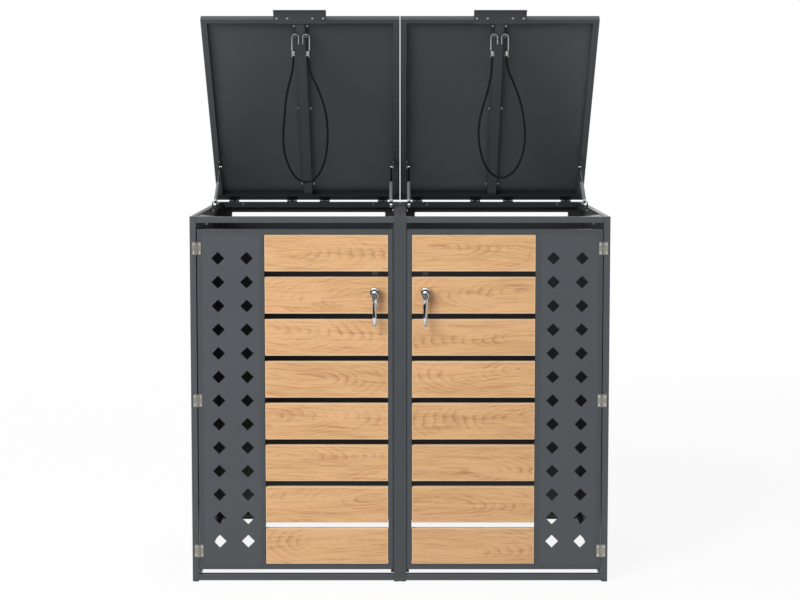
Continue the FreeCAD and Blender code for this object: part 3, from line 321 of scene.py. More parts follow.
def new_shading(name):
    """A group that shades a coat by place and facing; returns its tree, its outputs' inputs and both."""
    tree, given, result = new_group(name, [("Vector", "vector", None), ("Facing", "vector", None)],
                                    [("Shade", "value")])
    return tree, result, parts(tree, given["Vector"]), parts(tree, given["Facing"])


# Painted shade: the coat's colour is painted darker on the faces that look into the bays, but not on sideways
# faces near the front
painted_inside_shade, result, at, facing = new_shading("inside_faces_painted_shade")
off_bay = minus(painted_inside_shade, calc(painted_inside_shade, "ABSOLUTE", at["X"]), BAY_CENTRE)
behind_front = calc(painted_inside_shade, "GREATER_THAN", at["Y"], BEHIND_FRONT_POSTS)
outward_x = product(painted_inside_shade, facing["X"], calc(painted_inside_shade, "SIGN", at["X"]), behind_front)
outward = scaled(painted_inside_shade, at["Y"], facing["Y"], product(painted_inside_shade, off_bay, outward_x))
painted_bay_shade = ramp(painted_inside_shade, outward, -0.04, -0.14)
put_out(painted_inside_shade, result, Shade=scaled(painted_inside_shade, painted_bay_shade, SHADED_INSIDE - 1, 1.0))


def powder_coated(name, colour, cloud_depth, sheen, peel, shading=painted_inside_shade):
    """Powder coated steel, with the depth of its clouds and orange peel and its group of painted shade."""
    finish, tree, shader = new_finish(name, IOR=1.48, Coat_Weight=0.0)
    place = add_node(tree, "ShaderNodeTexCoord").outputs
    out = place_group(tree, coat, Vector=place["Object"], Colour=colour, Cloud=cloud_depth, Sheen=sheen)
    shade = place_group(tree, shading, Vector=place["Object"], Facing=place["Normal"])["Shade"]
    give_surface(tree, shader, shaded(tree, out["Colour"], shade), out["Roughness"], out["Height"],
                 peel, COAT_RELIEF)
    return finish


tube_finish = powder_coated("anthracite_tube", ANTHRACITE, cloud_depth=0.10, sheen=0.46, peel=0.10)
paint(tube_finish, *FRAME_TUBES)

# Eight moulded plugs close the posts' ends and stand on the ground: black polyethylene with a
# satin, slightly scuffed skin.
foot_finish, tree, shader = new_finish("foot_plastic", IOR=1.5)
scuff = noise(tree, on_object(tree), 160.0, 5.0)
give_surface(tree, shader, blend_colour(tree, scuff, (0.012, 0.012, 0.013, 1), (0.040, 0.040, 0.042, 1)),
             scaled(tree, scuff, 0.25, 0.42), scuff, 0.25, 0.0004)
paint(foot_finish, "feet")

# Sides and back: folded trays of 1 mm sheet let into the frame, in the same coat. A large thin
# sheet is never quite flat, so its gloss wanders.
sheet_finish = powder_coated("anthracite_sheet", ANTHRACITE, cloud_depth=0.16, sheen=0.43, peel=0.07)
paint(sheet_finish, "left_side_panel", "right_side_panel", "rear_panels", "corner_gussets")

# Cover strip, stop strip and rail brackets: flat steel in the same coat, a little darker. The cover
# strip lies on the seam between the centre posts, and the stop strip behind the doors' edges.
strip_finish = powder_coated("anthracite_strip", (0.0545, 0.0600, 0.0668, 1), cloud_depth=0.12,
                             sheen=0.46, peel=0.07)
paint(strip_finish, "centre_cover_strip", "door_stop_strip", "strut_rail_brackets")

# Bolts under the corner plates and on the rear rail: zinc plated steel with a thin dull skin and
# the faint grain of the plating.
ZINC_RELIEF = 0.0002
zinc, given, result = new_group(
    "zinc_plate",
    [("Vector", "vector", None), ("Colour", "colour", (0.42, 0.41, 0.38, 1)), ("Dullness", "value", 0.36)],
    SURFACE)
bloom = noise(zinc, given["Vector"], 90.0, 4.0, Roughness=0.6)
drawn = add_node(zinc, "ShaderNodeMapping", Vector=given["Vector"], Scale=(260, 260, 3200)).outputs[0]
lines = noise(zinc, drawn, 1.0, 2.0)
shade = scaled(zinc, bloom, 0.5, 0.75)
shade = scaled(zinc, minus(zinc, lines, 0.5), 0.25, shade)
put_out(zinc, result, Colour=shaded(zinc, given["Colour"], shade),
        Roughness=scaled(zinc, bloom, 0.2, given["Dullness"]),
        Height=calc(zinc, "ADD", lines, bloom))


def zinc_plated(name, colour, dullness):
    """Zinc plated steel in a colour."""
    finish, tree, shader = new_finish(name, Metallic=1.0)
    out = place_group(tree, zinc, Vector=on_object(tree), Colour=colour, Dullness=dullness)
    give_surface(tree, shader, out["Colour"], out["Roughness"], out["Height"], 0.12, ZINC_RELIEF)
    return finish


bolt_finish = zinc_plated("bolt_zinc", (0.46, 0.45, 0.43, 1), dullness=0.30)
paint(bolt_finish, "frame_bolts")

# Hinges: pressed steel butt hinges with bare steel pins. The doors have three each on the corner
# posts, zinc plated to a warm dull grey; the lids have four each along the rear rail, blackened.
hinge_finish = zinc_plated("zinc_hinge", (0.40, 0.385, 0.345, 1), dullness=0.42)
black_hinge_finish = zinc_plated("blackened_hinge", (0.105, 0.107, 0.110, 1), dullness=0.40)
pin_finish = zinc_plated("hinge_pin_steel", (0.52, 0.52, 0.51, 1), dullness=0.26)
paint(hinge_finish, "door_hinge_post_leaves", "left_door_hinge_leaves", "right_door_hinge_leaves")
paint(black_hinge_finish, "lid_hinge_rail_leaves", "left_lid_hinge_leaves", "right_lid_hinge_leaves")
paint(pin_finish, "door_hinge_pins", "lid_hinge_pins")

# Door screws of the hinges: countersunk steel heads with a cross recess, four to a hinge, two in
# each leaf. Their heads stand a hair proud of the leaves.
HINGE_SCREW_RADIUS = 0.0030
HINGE_SCREW_RISE = 0.0007
DOOR_SCREW_ACROSS = 0.0092
DOOR_SCREW_UP = 0.0130
DOOR_LEAF_THICKNESS = 0.0015
DOOR_LEAF_HALF_HEIGHT = 0.020
HEAD_STEPS = 24
HEAD_TURN = 0.7
screw_finish = zinc_plated("screw_steel", (0.72, 0.71, 0.69, 1), dullness=0.20)


def circle(count):
    """Points round a unit circle."""
    turns = [2 * math.pi * step / count for step in range(count)]
    return [(math.cos(turn), math.sin(turn)) for turn in turns]


def loft(rings):
    """Points and faces of a closed skin over rings of equally many points."""
    count = len(rings[0])
    last = (len(rings) - 1) * count
    faces = []
    for base in range(0, last, count):
        for step in range(count):
            after = (step + 1) % count
            faces.append((base + step, base + after, base + count + after, base + count + step))
    faces += [tuple(range(count - 1, -1, -1)), tuple(range(last, last + count))]
    return [point for ring in rings for point in ring], faces


def screw_rings(radius, rise):
    """A domed head with a cross recess, along +Z from its seat."""
    rings = []
    for share, height in ((1.0, -0.2), (1.0, 0.15), (0.93, 0.55), (0.80, 0.82), (0.66, 0.95)):
        rings.append([(radius * share * x, radius * share * y, rise * height) for x, y in circle(HEAD_STEPS)])
    for scale, height in ((1.0, 1.0), (0.92, -0.6), (0.35, -1.0)):
        ring = []
        for step, (x, y) in enumerate(circle(HEAD_STEPS)):
            arm = 0.16 + 0.40 * max(0.0, math.cos(8 * math.pi * step / HEAD_STEPS)) ** 2
            ring.append((radius * arm * scale * x, radius * arm * scale * y, rise * height))
        rings.append(ring)
    return rings


def screws(name, places, radius, rise, body, finish):
    """All screws of one group as one piece; each place is a seat and the way its head faces."""
    vertices = []
    faces = []
    for index, (seat, facing) in enumerate(places):
        turn = Matrix.Rotation(HEAD_TURN * index, 4, "Z")
        stand = Matrix.Translation(seat) @ Vector(facing).to_track_quat("Z", "Y").to_matrix().to_4x4() @ turn
        points, skin = loft(screw_rings(radius, rise))
        faces.extend(tuple(len(vertices) + corner for corner in face) for face in skin)
        vertices.extend(stand @ Vector(point) for point in points)
    made = object_from(name, vertices, faces)
    made.data.materials.append(finish)
    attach(made, body)


def middle(low, high):
    """Halfway between two values."""
    return (low + high) / 2


pin_low, pin_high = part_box("door_hinge_pins")
leaf_low, leaf_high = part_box("door_hinge_post_leaves")
pivot_x = pin_high.x - (pin_high.y - pin_low.y) / 2
door_screw_places = {"frame": [], "left_door": [], "right_door": []}
for sign, door in ((-1, "left_door"), (1, "right_door")):
    for hinge_z in (leaf_low.z + DOOR_LEAF_HALF_HEIGHT, middle(leaf_low.z, leaf_high.z),
                    leaf_high.z - DOOR_LEAF_HALF_HEIGHT):
        for up in (-DOOR_SCREW_UP, DOOR_SCREW_UP):
            for across, body in ((DOOR_SCREW_ACROSS, "frame"), (-DOOR_SCREW_ACROSS, door)):
                seat = (sign * (pivot_x + across), FRONT_FACE - DOOR_LEAF_THICKNESS, hinge_z + up)
                door_screw_places[body].append((seat, (0, -1, 0)))
for body, places in door_screw_places.items():
    screws(body + "_hinge_screws", places, HINGE_SCREW_RADIUS, HINGE_SCREW_RISE, body, screw_finish)

# Door frames and perforated sheets: thin welded tube, and sheet with two rows of diamond holes,
# folded into the frame. Both have the posts' powder coat.
door_tube_finish = powder_coated("anthracite_door_tube", (0.0610, 0.0670, 0.0735, 1), cloud_depth=0.10,
                                 sheen=0.46, peel=0.09)
for side in ("left", "right"):
    paint(door_tube_finish, side + "_door_frame")
    paint(sheet_finish, side + "_door_perforated_sheet")

# Closing lips: a narrow bar with a chamfered nose along each door's closing edge, coated with the
# door, which nearly closes the slit beside the centre posts.
LIP_GAP = 0.0007
LIP_RECESS = 0.0012
LIP_DEPTH = 0.0088
LIP_NOSE = 0.0006
LIP_OFF_FRAME = 0.0001
LIP_SHORTER = 0.001
door_low, door_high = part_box("left_door_frame")
post_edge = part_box("centre_posts")[1].x
lip_start = abs(door_high.x) + LIP_OFF_FRAME
lip_end = post_edge + LIP_GAP
for sign, side in ((-1, "left"), (1, "right")):
    outline = [(lip_start, LIP_RECESS + LIP_DEPTH), (lip_start, LIP_RECESS), (lip_end + LIP_NOSE, LIP_RECESS),
               (lip_end, LIP_RECESS + LIP_NOSE), (lip_end, LIP_RECESS + LIP_DEPTH)][::-sign]
    bar = [[(sign * x, FRONT_FACE + y, z) for x, y in outline]
           for z in (door_low.z + LIP_SHORTER, door_high.z - LIP_SHORTER)]
    lip = object_from(side + "_closing_lip", *loft(bar), smooth=False)
    lip.data.materials.append(door_tube_finish)
    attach(lip, side + "_door")

# Door boards: eight to a door, 115 mm high and 15 mm thick, oiled pale oak sawn flat. The cut runs
# near the log's heart, so each board shows long ring lines at its edges, nested arches where the
# log tapers, fine fibres and short reddish pores.
board_low, board_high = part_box("left_door_planks")
BOARDS = 8
BOARD_GAP = 0.020
BOARD_PITCH = (board_high.z - board_low.z + BOARD_GAP) / BOARDS
BOARD_HEIGHT = BOARD_PITCH - BOARD_GAP
BOARD_LENGTH = board_high.x - board_low.x
BOARD_MIDDLE_X = middle(board_low.x, board_high.x)
OAK_PALE = (0.790, 0.463, 0.242, 1)
OAK_LATE = (0.538, 0.260, 0.128, 1)
OAK_YELLOW = (0.747, 0.472, 0.220, 1)
OAK_PORE = (0.360, 0.165, 0.080, 1)
OAK_ARRIS_HIGHLIGHT = (0.873, 0.645, 0.418, 1)
RING_SPACING = 0.0086
LOG_TAPER = 0.27
LEAST_DEPTH = 0.010
DEPTH_SOFTNESS = 0.012
HEART_ROUND = 0.009
ARRIS = 0.0042

oak, given, result = new_group(
    "flat_sawn_oak",
    [("Vector", "vector", None), ("Pale", "colour", OAK_PALE), ("Late", "colour", OAK_LATE),
     ("Yellow", "colour", OAK_YELLOW), ("Pore", "colour", OAK_PORE), ("Arris Highlight", "colour", OAK_ARRIS_HIGHLIGHT)], SURFACE)
spot = parts(oak, given["Vector"])
rise = minus(oak, spot["Z"], board_low.z - BOARD_GAP / 2)
number = calc(oak, "FLOOR", calc(oak, "DIVIDE", rise, BOARD_PITCH))
on_board = minus(oak, rise, scaled(oak, number, BOARD_PITCH, BOARD_PITCH / 2))
which_door = calc(oak, "SIGN", spot["X"])
seed = scaled(oak, which_door, 23.7, product(oak, number, 3.31))
chance = add_node(oak, "ShaderNodeTexWhiteNoise", {"noise_dimensions": "1D"}, W=seed).outputs["Color"]
draw = add_node(oak, "ShaderNodeSeparateColor", Color=chance).outputs
along = minus(oak, spot["X"], product(oak, which_door, -BOARD_MIDDLE_X))
shifted = add_node(oak, "ShaderNodeCombineXYZ", X=along, Y=product(oak, seed, 0.37), Z=on_board).outputs[0]


def stretched_noise(scale, detail, roughness=0.5, place=shifted):
    """Noise about zero on the board, with its own scale along it and across it."""
    fitted = add_node(oak, "ShaderNodeMapping", Vector=place, Scale=scale).outputs[0]
    return minus(oak, noise(oak, fitted, 1.0, detail, Roughness=roughness), 0.5)


# The cut's distance from the heart, along and across the board, gives the ring at each point
slope = product(oak, minus(oak, draw["Green"], 0.5), 0.10)
wander = product(oak, stretched_noise((4.5, 1.0, 12.0), 2.0), 0.034)
ripple = product(oak, stretched_noise((34.0, 1.0, 90.0), 2.0), 0.0062)
heart = scaled(oak, minus(oak, draw["Red"], 0.5), 0.050, wander)
across = minus(oak, scaled(oak, along, slope, on_board), heart)
turned = calc(oak, "SIGN", minus(oak, draw["Green"], 0.5))
depth = calc(oak, "ADD", product(oak, along, turned, LOG_TAPER), scaled(oak, draw["Blue"], 0.056, 0.010))
# The cut stays this side of the heart, so that the arches never close to loops
depth = calc(oak, "SMOOTH_MAX", depth, LEAST_DEPTH, DEPTH_SOFTNESS)
depth_squared = scaled(oak, depth, depth, HEART_ROUND ** 2)
radius = calc(oak, "SQRT", scaled(oak, across, across, depth_squared))
ring = calc(oak, "ADD", calc(oak, "DIVIDE", calc(oak, "ADD", radius, ripple), RING_SPACING),
            product(oak, stretched_noise((2.2, 1.0, 8.0), 2.0), 3.0))
growth = calc(oak, "FRACT", ring)
late = product(oak, calc(oak, "POWER", growth, 3.0), ramp(oak, growth, 1.0, 0.90))
# Arches stand out near the heart's line and fade into straight fibres at the board's edges
near_heart = ramp(oak, calc(oak, "ABSOLUTE", across), 0.024, 0.003, 0.50, 1.0)
patchy = scaled(oak, stretched_noise((9.0, 1.0, 34.0), 2.0), 4.6, 0.52, clamp=True)
strength = product(oak, near_heart, patchy)
with_grain = add_node(oak, "ShaderNodeCombineXYZ", X=along, Y=product(oak, seed, 0.61), Z=across).outputs[0]
fibre = stretched_noise((6.0, 1.0, 165.0), 2.0, 0.6, with_grain)
streak = stretched_noise((14.0, 1.0, 290.0), 2.0, 0.6, with_grain)
thread = stretched_noise((22.0, 1.0, 640.0), 2.0, 0.6, with_grain)
band = stretched_noise((1.8, 1.0, 26.0), 2.0)
warm = stretched_noise((2.6, 1.0, 15.0), 2.0)
dash = stretched_noise((48.0, 1.0, 360.0), 1.0)
pore = product(oak, ramp(oak, dash, 0.08, 0.17), strength, scaled(oak, late, 0.8, 0.2))
tone = product(oak, late, strength, 1.15)
tone = calc(oak, "ADD", tone, scaled(oak, fibre, 1.50, 0.17))
tone = scaled(oak, streak, 1.60, tone)
tone = scaled(oak, thread, 0.55, tone)
tone = scaled(oak, band, 0.85, tone, clamp=True)
ground = blend_colour(oak, scaled(oak, warm, 2.6, 0.45, clamp=True), given["Pale"], given["Yellow"])
wood = blend_colour(oak, tone, ground, given["Late"])
wood = blend_colour(oak, product(oak, pore, 0.75), wood, given["Pore"])
# Painted highlight: the arris round a board's face is painted paler, as the light it catches
to_end, to_side = [ramp(oak, calc(oak, "ABSOLUTE", place), size / 2 - ARRIS, size / 2 - ARRIS / 3)
                   for place, size in ((along, BOARD_LENGTH), (on_board, BOARD_HEIGHT))]
arris_highlight = calc(oak, "MAXIMUM", product(oak, to_end, 0.75), product(oak, to_side, 0.5))
wood = blend_colour(oak, arris_highlight, wood, given["Arris Highlight"])
put_out(oak, result, Colour=shaded(oak, wood, scaled(oak, draw["Red"], 0.04, 0.96)),
        Roughness=scaled(oak, tone, 0.12, 0.50),
        Height=minus(oak, scaled(oak, thread, 0.8, 0.5),
                     scaled(oak, pore, 0.6, product(oak, tone, 0.3))))

oak_finish, tree, shader = new_finish("oiled_oak", IOR=1.45)
out = place_group(tree, oak, Vector=on_object(tree))
give_surface(tree, shader, out["Colour"], out["Roughness"], out["Height"], 0.25, 0.0005)
paint(oak_finish, "left_door_planks", "right_door_planks")

# Board screws: pan heads through the tabs on the doors' inner side, two at each end of a board, so
# that none shows on the boards' faces.
TAB_BACK = FRONT_FACE + 0.0185
PAN_HEAD_RADIUS = 0.0042
BOARD_SCREW_RISE = 0.0022
BOARD_SCREW_IN = 0.011
BOARD_SCREW_UP = 0.036
for sign, side in ((1, "left"), (-1, "right")):
    places = [((sign * x, TAB_BACK, board_low.z + board * BOARD_PITCH + BOARD_HEIGHT / 2 + up), (0, 1, 0))
              for board in range(BOARDS)
              for x in (board_low.x + BOARD_SCREW_IN, board_high.x - BOARD_SCREW_IN)
              for up in (-BOARD_SCREW_UP, BOARD_SCREW_UP)]
    screws(side + "_board_screws", places, PAN_HEAD_RADIUS, BOARD_SCREW_RISE, side + "_door", screw_finish)

# Locks and handles: zinc castings with bright chrome. A round rosette stands on the board, the
# hub turns on it and holds the key cylinder in a raised collar, and the lever hangs from the hub,
# narrow in its middle, with a flat tip that curls outward.
HUB_RADIUS = 0.0150
LOBE_RADIUS = 0.0115
BEZEL_RADIUS = 0.0098
LOCK_BORE = 0.0076
HUB_BACK = FRONT_FACE - 0.0094
HUB_SHOULDER = FRONT_FACE - 0.0215
HUB_DOME = 0.0078
BEZEL_FRONT = FRONT_FACE - 0.0294
BORE_END = FRONT_FACE - 0.0170
BOARD_BACK = FRONT_FACE + 0.012
RING_POINTS = 72
DOME_LEVELS = 24
STEEPEST_DOME = 0.60
DOME_SWEEP = 0.93
DOME_FULLNESS = 0.72
COLLAR_FULLNESS = 0.9
VALLEY_RADIUS = 0.0182
VALLEY_WIDTH = 0.0034
VALLEY_SHARE = 0.54
VALLEY_FLOOR = 0.34
PLUG_RIM = 0.0062
PLUG_RIM_WIDTH = 0.0008
KEYWAY_HALF_WIDTH = 0.0009
KEYWAY_HALF_HEIGHT = 0.0038
TIP_BELOW_PLUG = 0.067
LEVER_LEAN = 0.0016
LEVER_ROOT = 0.003
LEVER_SHORTER = 0.0005
TIP_SHARE = 0.73
FACE_RIDGE = 1.45
TIP_FLATNESS = 0.55
BACK_ROUNDNESS = 0.85
SIDE_ROUNDNESS = 1.05
SPINDLE_RADIUS = 0.0040
SPINDLE_CHAMFER = 0.0006
SPINDLE_STEPS = 32
plug_low, plug_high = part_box("right_lock_plug")
PLUG_X = middle(plug_low.x, plug_high.x)
PLUG_Z = middle(plug_low.z, plug_high.z)

chrome, given, result = new_group(
    "smeared_chrome",
    [("Vector", "vector", None), ("Smeared", "colour", (0.58, 0.58, 0.57, 1)),
     ("Bright", "colour", (0.66, 0.66, 0.66, 1)), ("Dull", "value", 0.0),
     ("Dull Colour", "colour", (0.41, 0.41, 0.395, 1)), ("Dull Roughness", "value", 0.36)],
    [("Colour", "colour"), ("Roughness", "value")])
smear = noise(chrome, given["Vector"], 55.0, 4.0)
bright = blend_colour(chrome, smear, given["Smeared"], given["Bright"])
put_out(chrome, result, Colour=blend_colour(chrome, given["Dull"], bright, given["Dull Colour"]),
        Roughness=scaled(chrome, given["Dull"], given["Dull Roughness"],
                         scaled(chrome, smear, 0.10, 0.02)))


def slant(tree, across, up):
    """The straight distance that two distances at a right angle make."""
    return calc(tree, "SQRT", scaled(tree, across, across, product(tree, up, up)))


def from_plug(tree, place):
    """Distances from the plug's axis: sideways, upward and straight."""
    at = parts(tree, place)
    off_x = minus(tree, calc(tree, "ABSOLUTE", at["X"]), PLUG_X)
    off_z = minus(tree, at["Z"], PLUG_Z)
    return off_x, off_z, slant(tree, off_x, off_z)


def worn_tip(tree, place):
    """1 on the lever's tip, which hands have worn dull."""
    tip_z = PLUG_Z - TIP_BELOW_PLUG
    return ramp(tree, parts(tree, place)["Z"], tip_z + 0.004, tip_z - 0.002)


def painted_valley_shade(tree, place):
    """1 in the valley between the hub's dome and its key collar, where a dark band is painted as shade."""
    off_valley = apart(tree, from_plug(tree, place)[2], VALLEY_RADIUS)
    return ramp(tree, off_valley, VALLEY_WIDTH * 0.60, VALLEY_WIDTH * 0.40)


def behind_board(tree, place):
    """1 on the housing's barrel and nut behind the board, which are left in dull cast zinc."""
    return calc(tree, "GREATER_THAN", parts(tree, place)["Y"], BOARD_BACK)


def chrome_plated(name, dull_and_shaded_at, dull_colour, dull_roughness, **colours):
    """Bright chrome; its mask gives 1 where the chrome is worn, left dull or painted with shade, with another
    colour and rougher.
    """
    finish, tree, shader = new_finish(name, Metallic=1.0)
    place = on_object(tree)
    out = place_group(tree, chrome, Vector=place, Dull=dull_and_shaded_at(tree, place), Dull_Colour=dull_colour,
                      Dull_Roughness=dull_roughness, **colours)
    give_surface(tree, shader, out["Colour"], out["Roughness"])
    return finish


chrome_finish = chrome_plated("chrome", worn_tip, (0.41, 0.41, 0.395, 1), 0.36)
# The hub is painted near black in the valley round its key collar, as painted shade
hub_finish = chrome_plated("hub_chrome", painted_valley_shade, (0.030, 0.029, 0.028, 1), 0.3,
                           Smeared=(0.60, 0.60, 0.59, 1), Bright=(0.68, 0.68, 0.68, 1))
housing_finish = chrome_plated("lock_housing_chrome", behind_board, (0.035, 0.035, 0.034, 1), 0.45)

plug_finish, tree, shader = new_finish("key_plug_brass_nickel", Metallic=1.0)
out = place_group(tree, zinc, Vector=on_object(tree), Colour=(0.30, 0.30, 0.29, 1), Dullness=0.22)
off_x, off_z, off_axis = from_plug(tree, on_object(tree))
# The keyway is painted near black as painted shade in its slot; the thin ring round the plug's edge is its
# dark rim
keyway_painted_shade = product(tree, calc(tree, "LESS_THAN", calc(tree, "ABSOLUTE", off_x), KEYWAY_HALF_WIDTH),
                 calc(tree, "LESS_THAN", calc(tree, "ABSOLUTE", off_z), KEYWAY_HALF_HEIGHT))
keyway_shade_and_rim = calc(tree, "MAXIMUM", keyway_painted_shade, ramp(tree, off_axis, PLUG_RIM - PLUG_RIM_WIDTH, PLUG_RIM))
give_surface(tree, shader, blend_colour(tree, keyway_shade_and_rim, out["Colour"], (0.012, 0.012, 0.012, 1)),
             out["Roughness"], out["Height"], 0.12, ZINC_RELIEF)


def hub_outline(x, hub_z, inset):
    """The teardrop round a large circle above a small one, its points spaced by their facing."""
    split = -(HUB_RADIUS - LOBE_RADIUS) / (hub_z - PLUG_Z)
    points = []
    for across, up in circle(RING_POINTS):
        reach, centre = (HUB_RADIUS, hub_z) if up > split else (LOBE_RADIUS, PLUG_Z)
        points.append((x + (reach - inset) * across, centre + (reach - inset) * up))
    return points


def hub_rings(x, hub_z):
    """Back, side, domed shoulder, valley, key collar and bore of a hub."""
    rings = []
    for inset, y in ((0.0012, HUB_BACK), (0.0003, HUB_BACK - 0.0006), (0.0, HUB_BACK - 0.0016),
                     (0.0, HUB_SHOULDER)):
        rings.append([(px, y, pz) for px, pz in hub_outline(x, hub_z, inset)])
    edge = hub_outline(x, hub_z, 0.0)
    for level in range(1, DOME_LEVELS + 1):
        share = level / DOME_LEVELS
        ring = []
        for (px, pz), (across, up) in zip(edge, circle(RING_POINTS)):
            to_x = x + BEZEL_RADIUS * across
            to_z = PLUG_Z + BEZEL_RADIUS * up
            if share < VALLEY_SHARE:
                swell = math.sin(math.pi * share / VALLEY_SHARE * DOME_SWEEP) ** DOME_FULLNESS
            else:
                climb = (share - VALLEY_SHARE) / (1 - VALLEY_SHARE)
                swell = VALLEY_FLOOR + (1 - VALLEY_FLOOR) * math.sin(math.pi / 2 * climb) ** COLLAR_FULLNESS
            dome = min(HUB_DOME, STEEPEST_DOME * math.hypot(to_x - px, to_z - pz)) * swell
            ring.append((px + (to_x - px) * share, HUB_SHOULDER - dome, pz + (to_z - pz) * share))
        rings.append(ring)
    for reach, y in ((BEZEL_RADIUS, BEZEL_FRONT + 0.0009), (BEZEL_RADIUS - 0.0003, BEZEL_FRONT + 0.0003),
                     (BEZEL_RADIUS - 0.0009, BEZEL_FRONT), (LOCK_BORE + 0.0006, BEZEL_FRONT + 0.0002),
                     (LOCK_BORE, BEZEL_FRONT + 0.0009), (LOCK_BORE, BORE_END)):
        rings.append([(x + reach * across, y, PLUG_Z + reach * up) for across, up in circle(RING_POINTS)])
    return rings


def lever_rings(x, top_z, tip_z, lean):
    """Sections of the hanging lever: a soft ridge runs down its face and leans to one side."""
    # Share of the way down, then half width, half thickness and distance from the frame in mm
    stations = [(0.00, 9.2, 6.4, 18.6), (0.12, 8.4, 5.6, 19.2), (0.28, 7.2, 4.7, 20.8),
                (0.45, 6.5, 4.2, 23.4), (0.62, 6.3, 3.9, 26.4), (0.71, 6.4, 3.7, 28.4),
                (0.745, 6.7, 3.4, 30.0), (0.80, 7.0, 3.0, 32.9), (0.87, 7.1, 2.6, 36.2),
                (0.93, 6.6, 2.3, 38.6), (0.98, 5.2, 2.0, 40.6), (1.00, 3.2, 1.4, 41.3)]
    rings = []
    for share, half_width, half_thick, out in stations:
        z = top_z + (tip_z - top_z) * share
        ridge = lean * LEVER_LEAN * math.sin(2 * math.pi * share)
        face_shape = FACE_RIDGE if share < TIP_SHARE else TIP_FLATNESS
        ring = []
        for side, face in circle(RING_POINTS):
            shape = face_shape if face > 0 else BACK_ROUNDNESS
            px = math.copysign(abs(side) ** SIDE_ROUNDNESS, side) * half_width / 1000
            py = math.copysign(abs(face) ** shape, face) * half_thick / 1000
            ring.append((x + px + ridge * max(0.0, face), FRONT_FACE - out / 1000 - py, z))
        rings.append(ring)
    return rings


for sign, side in ((-1, "left"), (1, "right")):
    paint(plug_finish, side + "_lock_plug")
    # The latch tongue takes the blackened finish as painted shade, so that it stays dark in the gap between
    # the boards
    paint(black_hinge_finish, side + "_latch_tongue")
    paint(housing_finish, side + "_lock_housing")
    lever_low, lever_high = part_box(side + "_handle_lever")
    handle_x = middle(lever_low.x, lever_high.x)
    spindle_z = lever_high.z - HUB_RADIUS
    hub = object_from(side + "_handle_hub", *loft(hub_rings(handle_x, spindle_z)))
    lever = object_from(side + "_handle_arm",
                        *loft(lever_rings(handle_x, PLUG_Z - LEVER_ROOT, lever_low.z + LEVER_SHORTER, sign)))
    rounding = lever.modifiers.new("rounding", "SUBSURF")
    rounding.levels = rounding.render_levels = 1
    bar = [[(handle_x + reach * across, y, spindle_z + reach * up) for across, up in circle(SPINDLE_STEPS)]
           for reach, y in ((SPINDLE_RADIUS, HUB_BACK), (SPINDLE_RADIUS, lever_high.y - SPINDLE_CHAMFER),
                            (SPINDLE_RADIUS - SPINDLE_CHAMFER, lever_high.y))]
    spindle = object_from(side + "_handle_spindle", *loft(bar))
    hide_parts(side + "_handle_lever")
    for piece, finish in ((hub, hub_finish), (lever, chrome_finish), (spindle, chrome_finish)):
        piece.data.materials.append(finish)
        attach(piece, side + "_handle")

# Lids: a sheet skin folded over a rim of square tube, a hat rib down the middle and a folded grip
# plate under the front rim, powder coated. The real lids end a little nearer to their hinges than
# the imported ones, so these pieces are copies with their front ends set back.
LID_OPEN = math.radians(52.8)
LID_FORWARD = (0, -math.cos(LID_OPEN), math.sin(LID_OPEN))
UNDERSIDE = (0, -math.sin(LID_OPEN), -math.cos(LID_OPEN))
LID_LENGTH_SHADED = 0.72
SHADE_AT_HINGE = 0.62
SHADE_AT_RIM = 1.06
RIM_INNER_FORWARD = 0.7864
RIM_CATCH = 0.006
EDGE_PAST_RIM = 0.009
RIM_SET_BACK = 0.0155
EDGE_SET_BACK = 0.0205
pin_low, pin_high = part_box("lid_hinge_pins")
HINGE_Y = middle(pin_low.y, pin_high.y)
HINGE_Z = middle(pin_low.z, pin_high.z)

# Painted shade and light on the coat: on all but the outer skin its colour is painted darker towards the
# hinges, darkest right at them, and a little lighter than plain near the front rim; faces that look forward
# are painted darker
lid_painted_shade, result, at, facing = new_shading("lid_painted_shade")


def lid_way(way, y, z):
    """How far a y and a z go one way of the lid."""
    return scaled(lid_painted_shade, z, way[2], product(lid_painted_shade, y, way[1]))


from_hinge = lid_way(LID_FORWARD, minus(lid_painted_shade, at["Y"], HINGE_Y), minus(lid_painted_shade, at["Z"], HINGE_Z))
shade = ramp(lid_painted_shade, from_hinge, 0.0, LID_LENGTH_SHADED, SHADE_AT_HINGE, SHADE_AT_RIM)
painted_hinge_shade = ramp(lid_painted_shade, from_hinge, 0.040, 0.026)
shade = product(lid_painted_shade, shade, scaled(lid_painted_shade, painted_hinge_shade, -0.45, 1.0))
outer = ramp(lid_painted_shade, lid_way(UNDERSIDE, facing["Y"], facing["Z"]), -0.6, -0.9)
painted_edge_shade = ramp(lid_painted_shade, lid_way(LID_FORWARD, facing["Y"], facing["Z"]), 0.6, 0.9)
put_out(lid_painted_shade, result, Shade=product(lid_painted_shade, blend_value(lid_painted_shade, outer, shade, 1.0),
                                         scaled(lid_painted_shade, painted_edge_shade, -0.38, 1.0)))

lid_finish = powder_coated("anthracite_lid_sheet", ANTHRACITE, cloud_depth=0.22, sheen=0.40, peel=0.07,
                           shading=lid_painted_shade)
lid_tube_finish = powder_coated("anthracite_lid_tube", (0.0620, 0.0685, 0.0755, 1), cloud_depth=0.12,
                                sheen=0.46, peel=0.07, shading=lid_painted_shade)


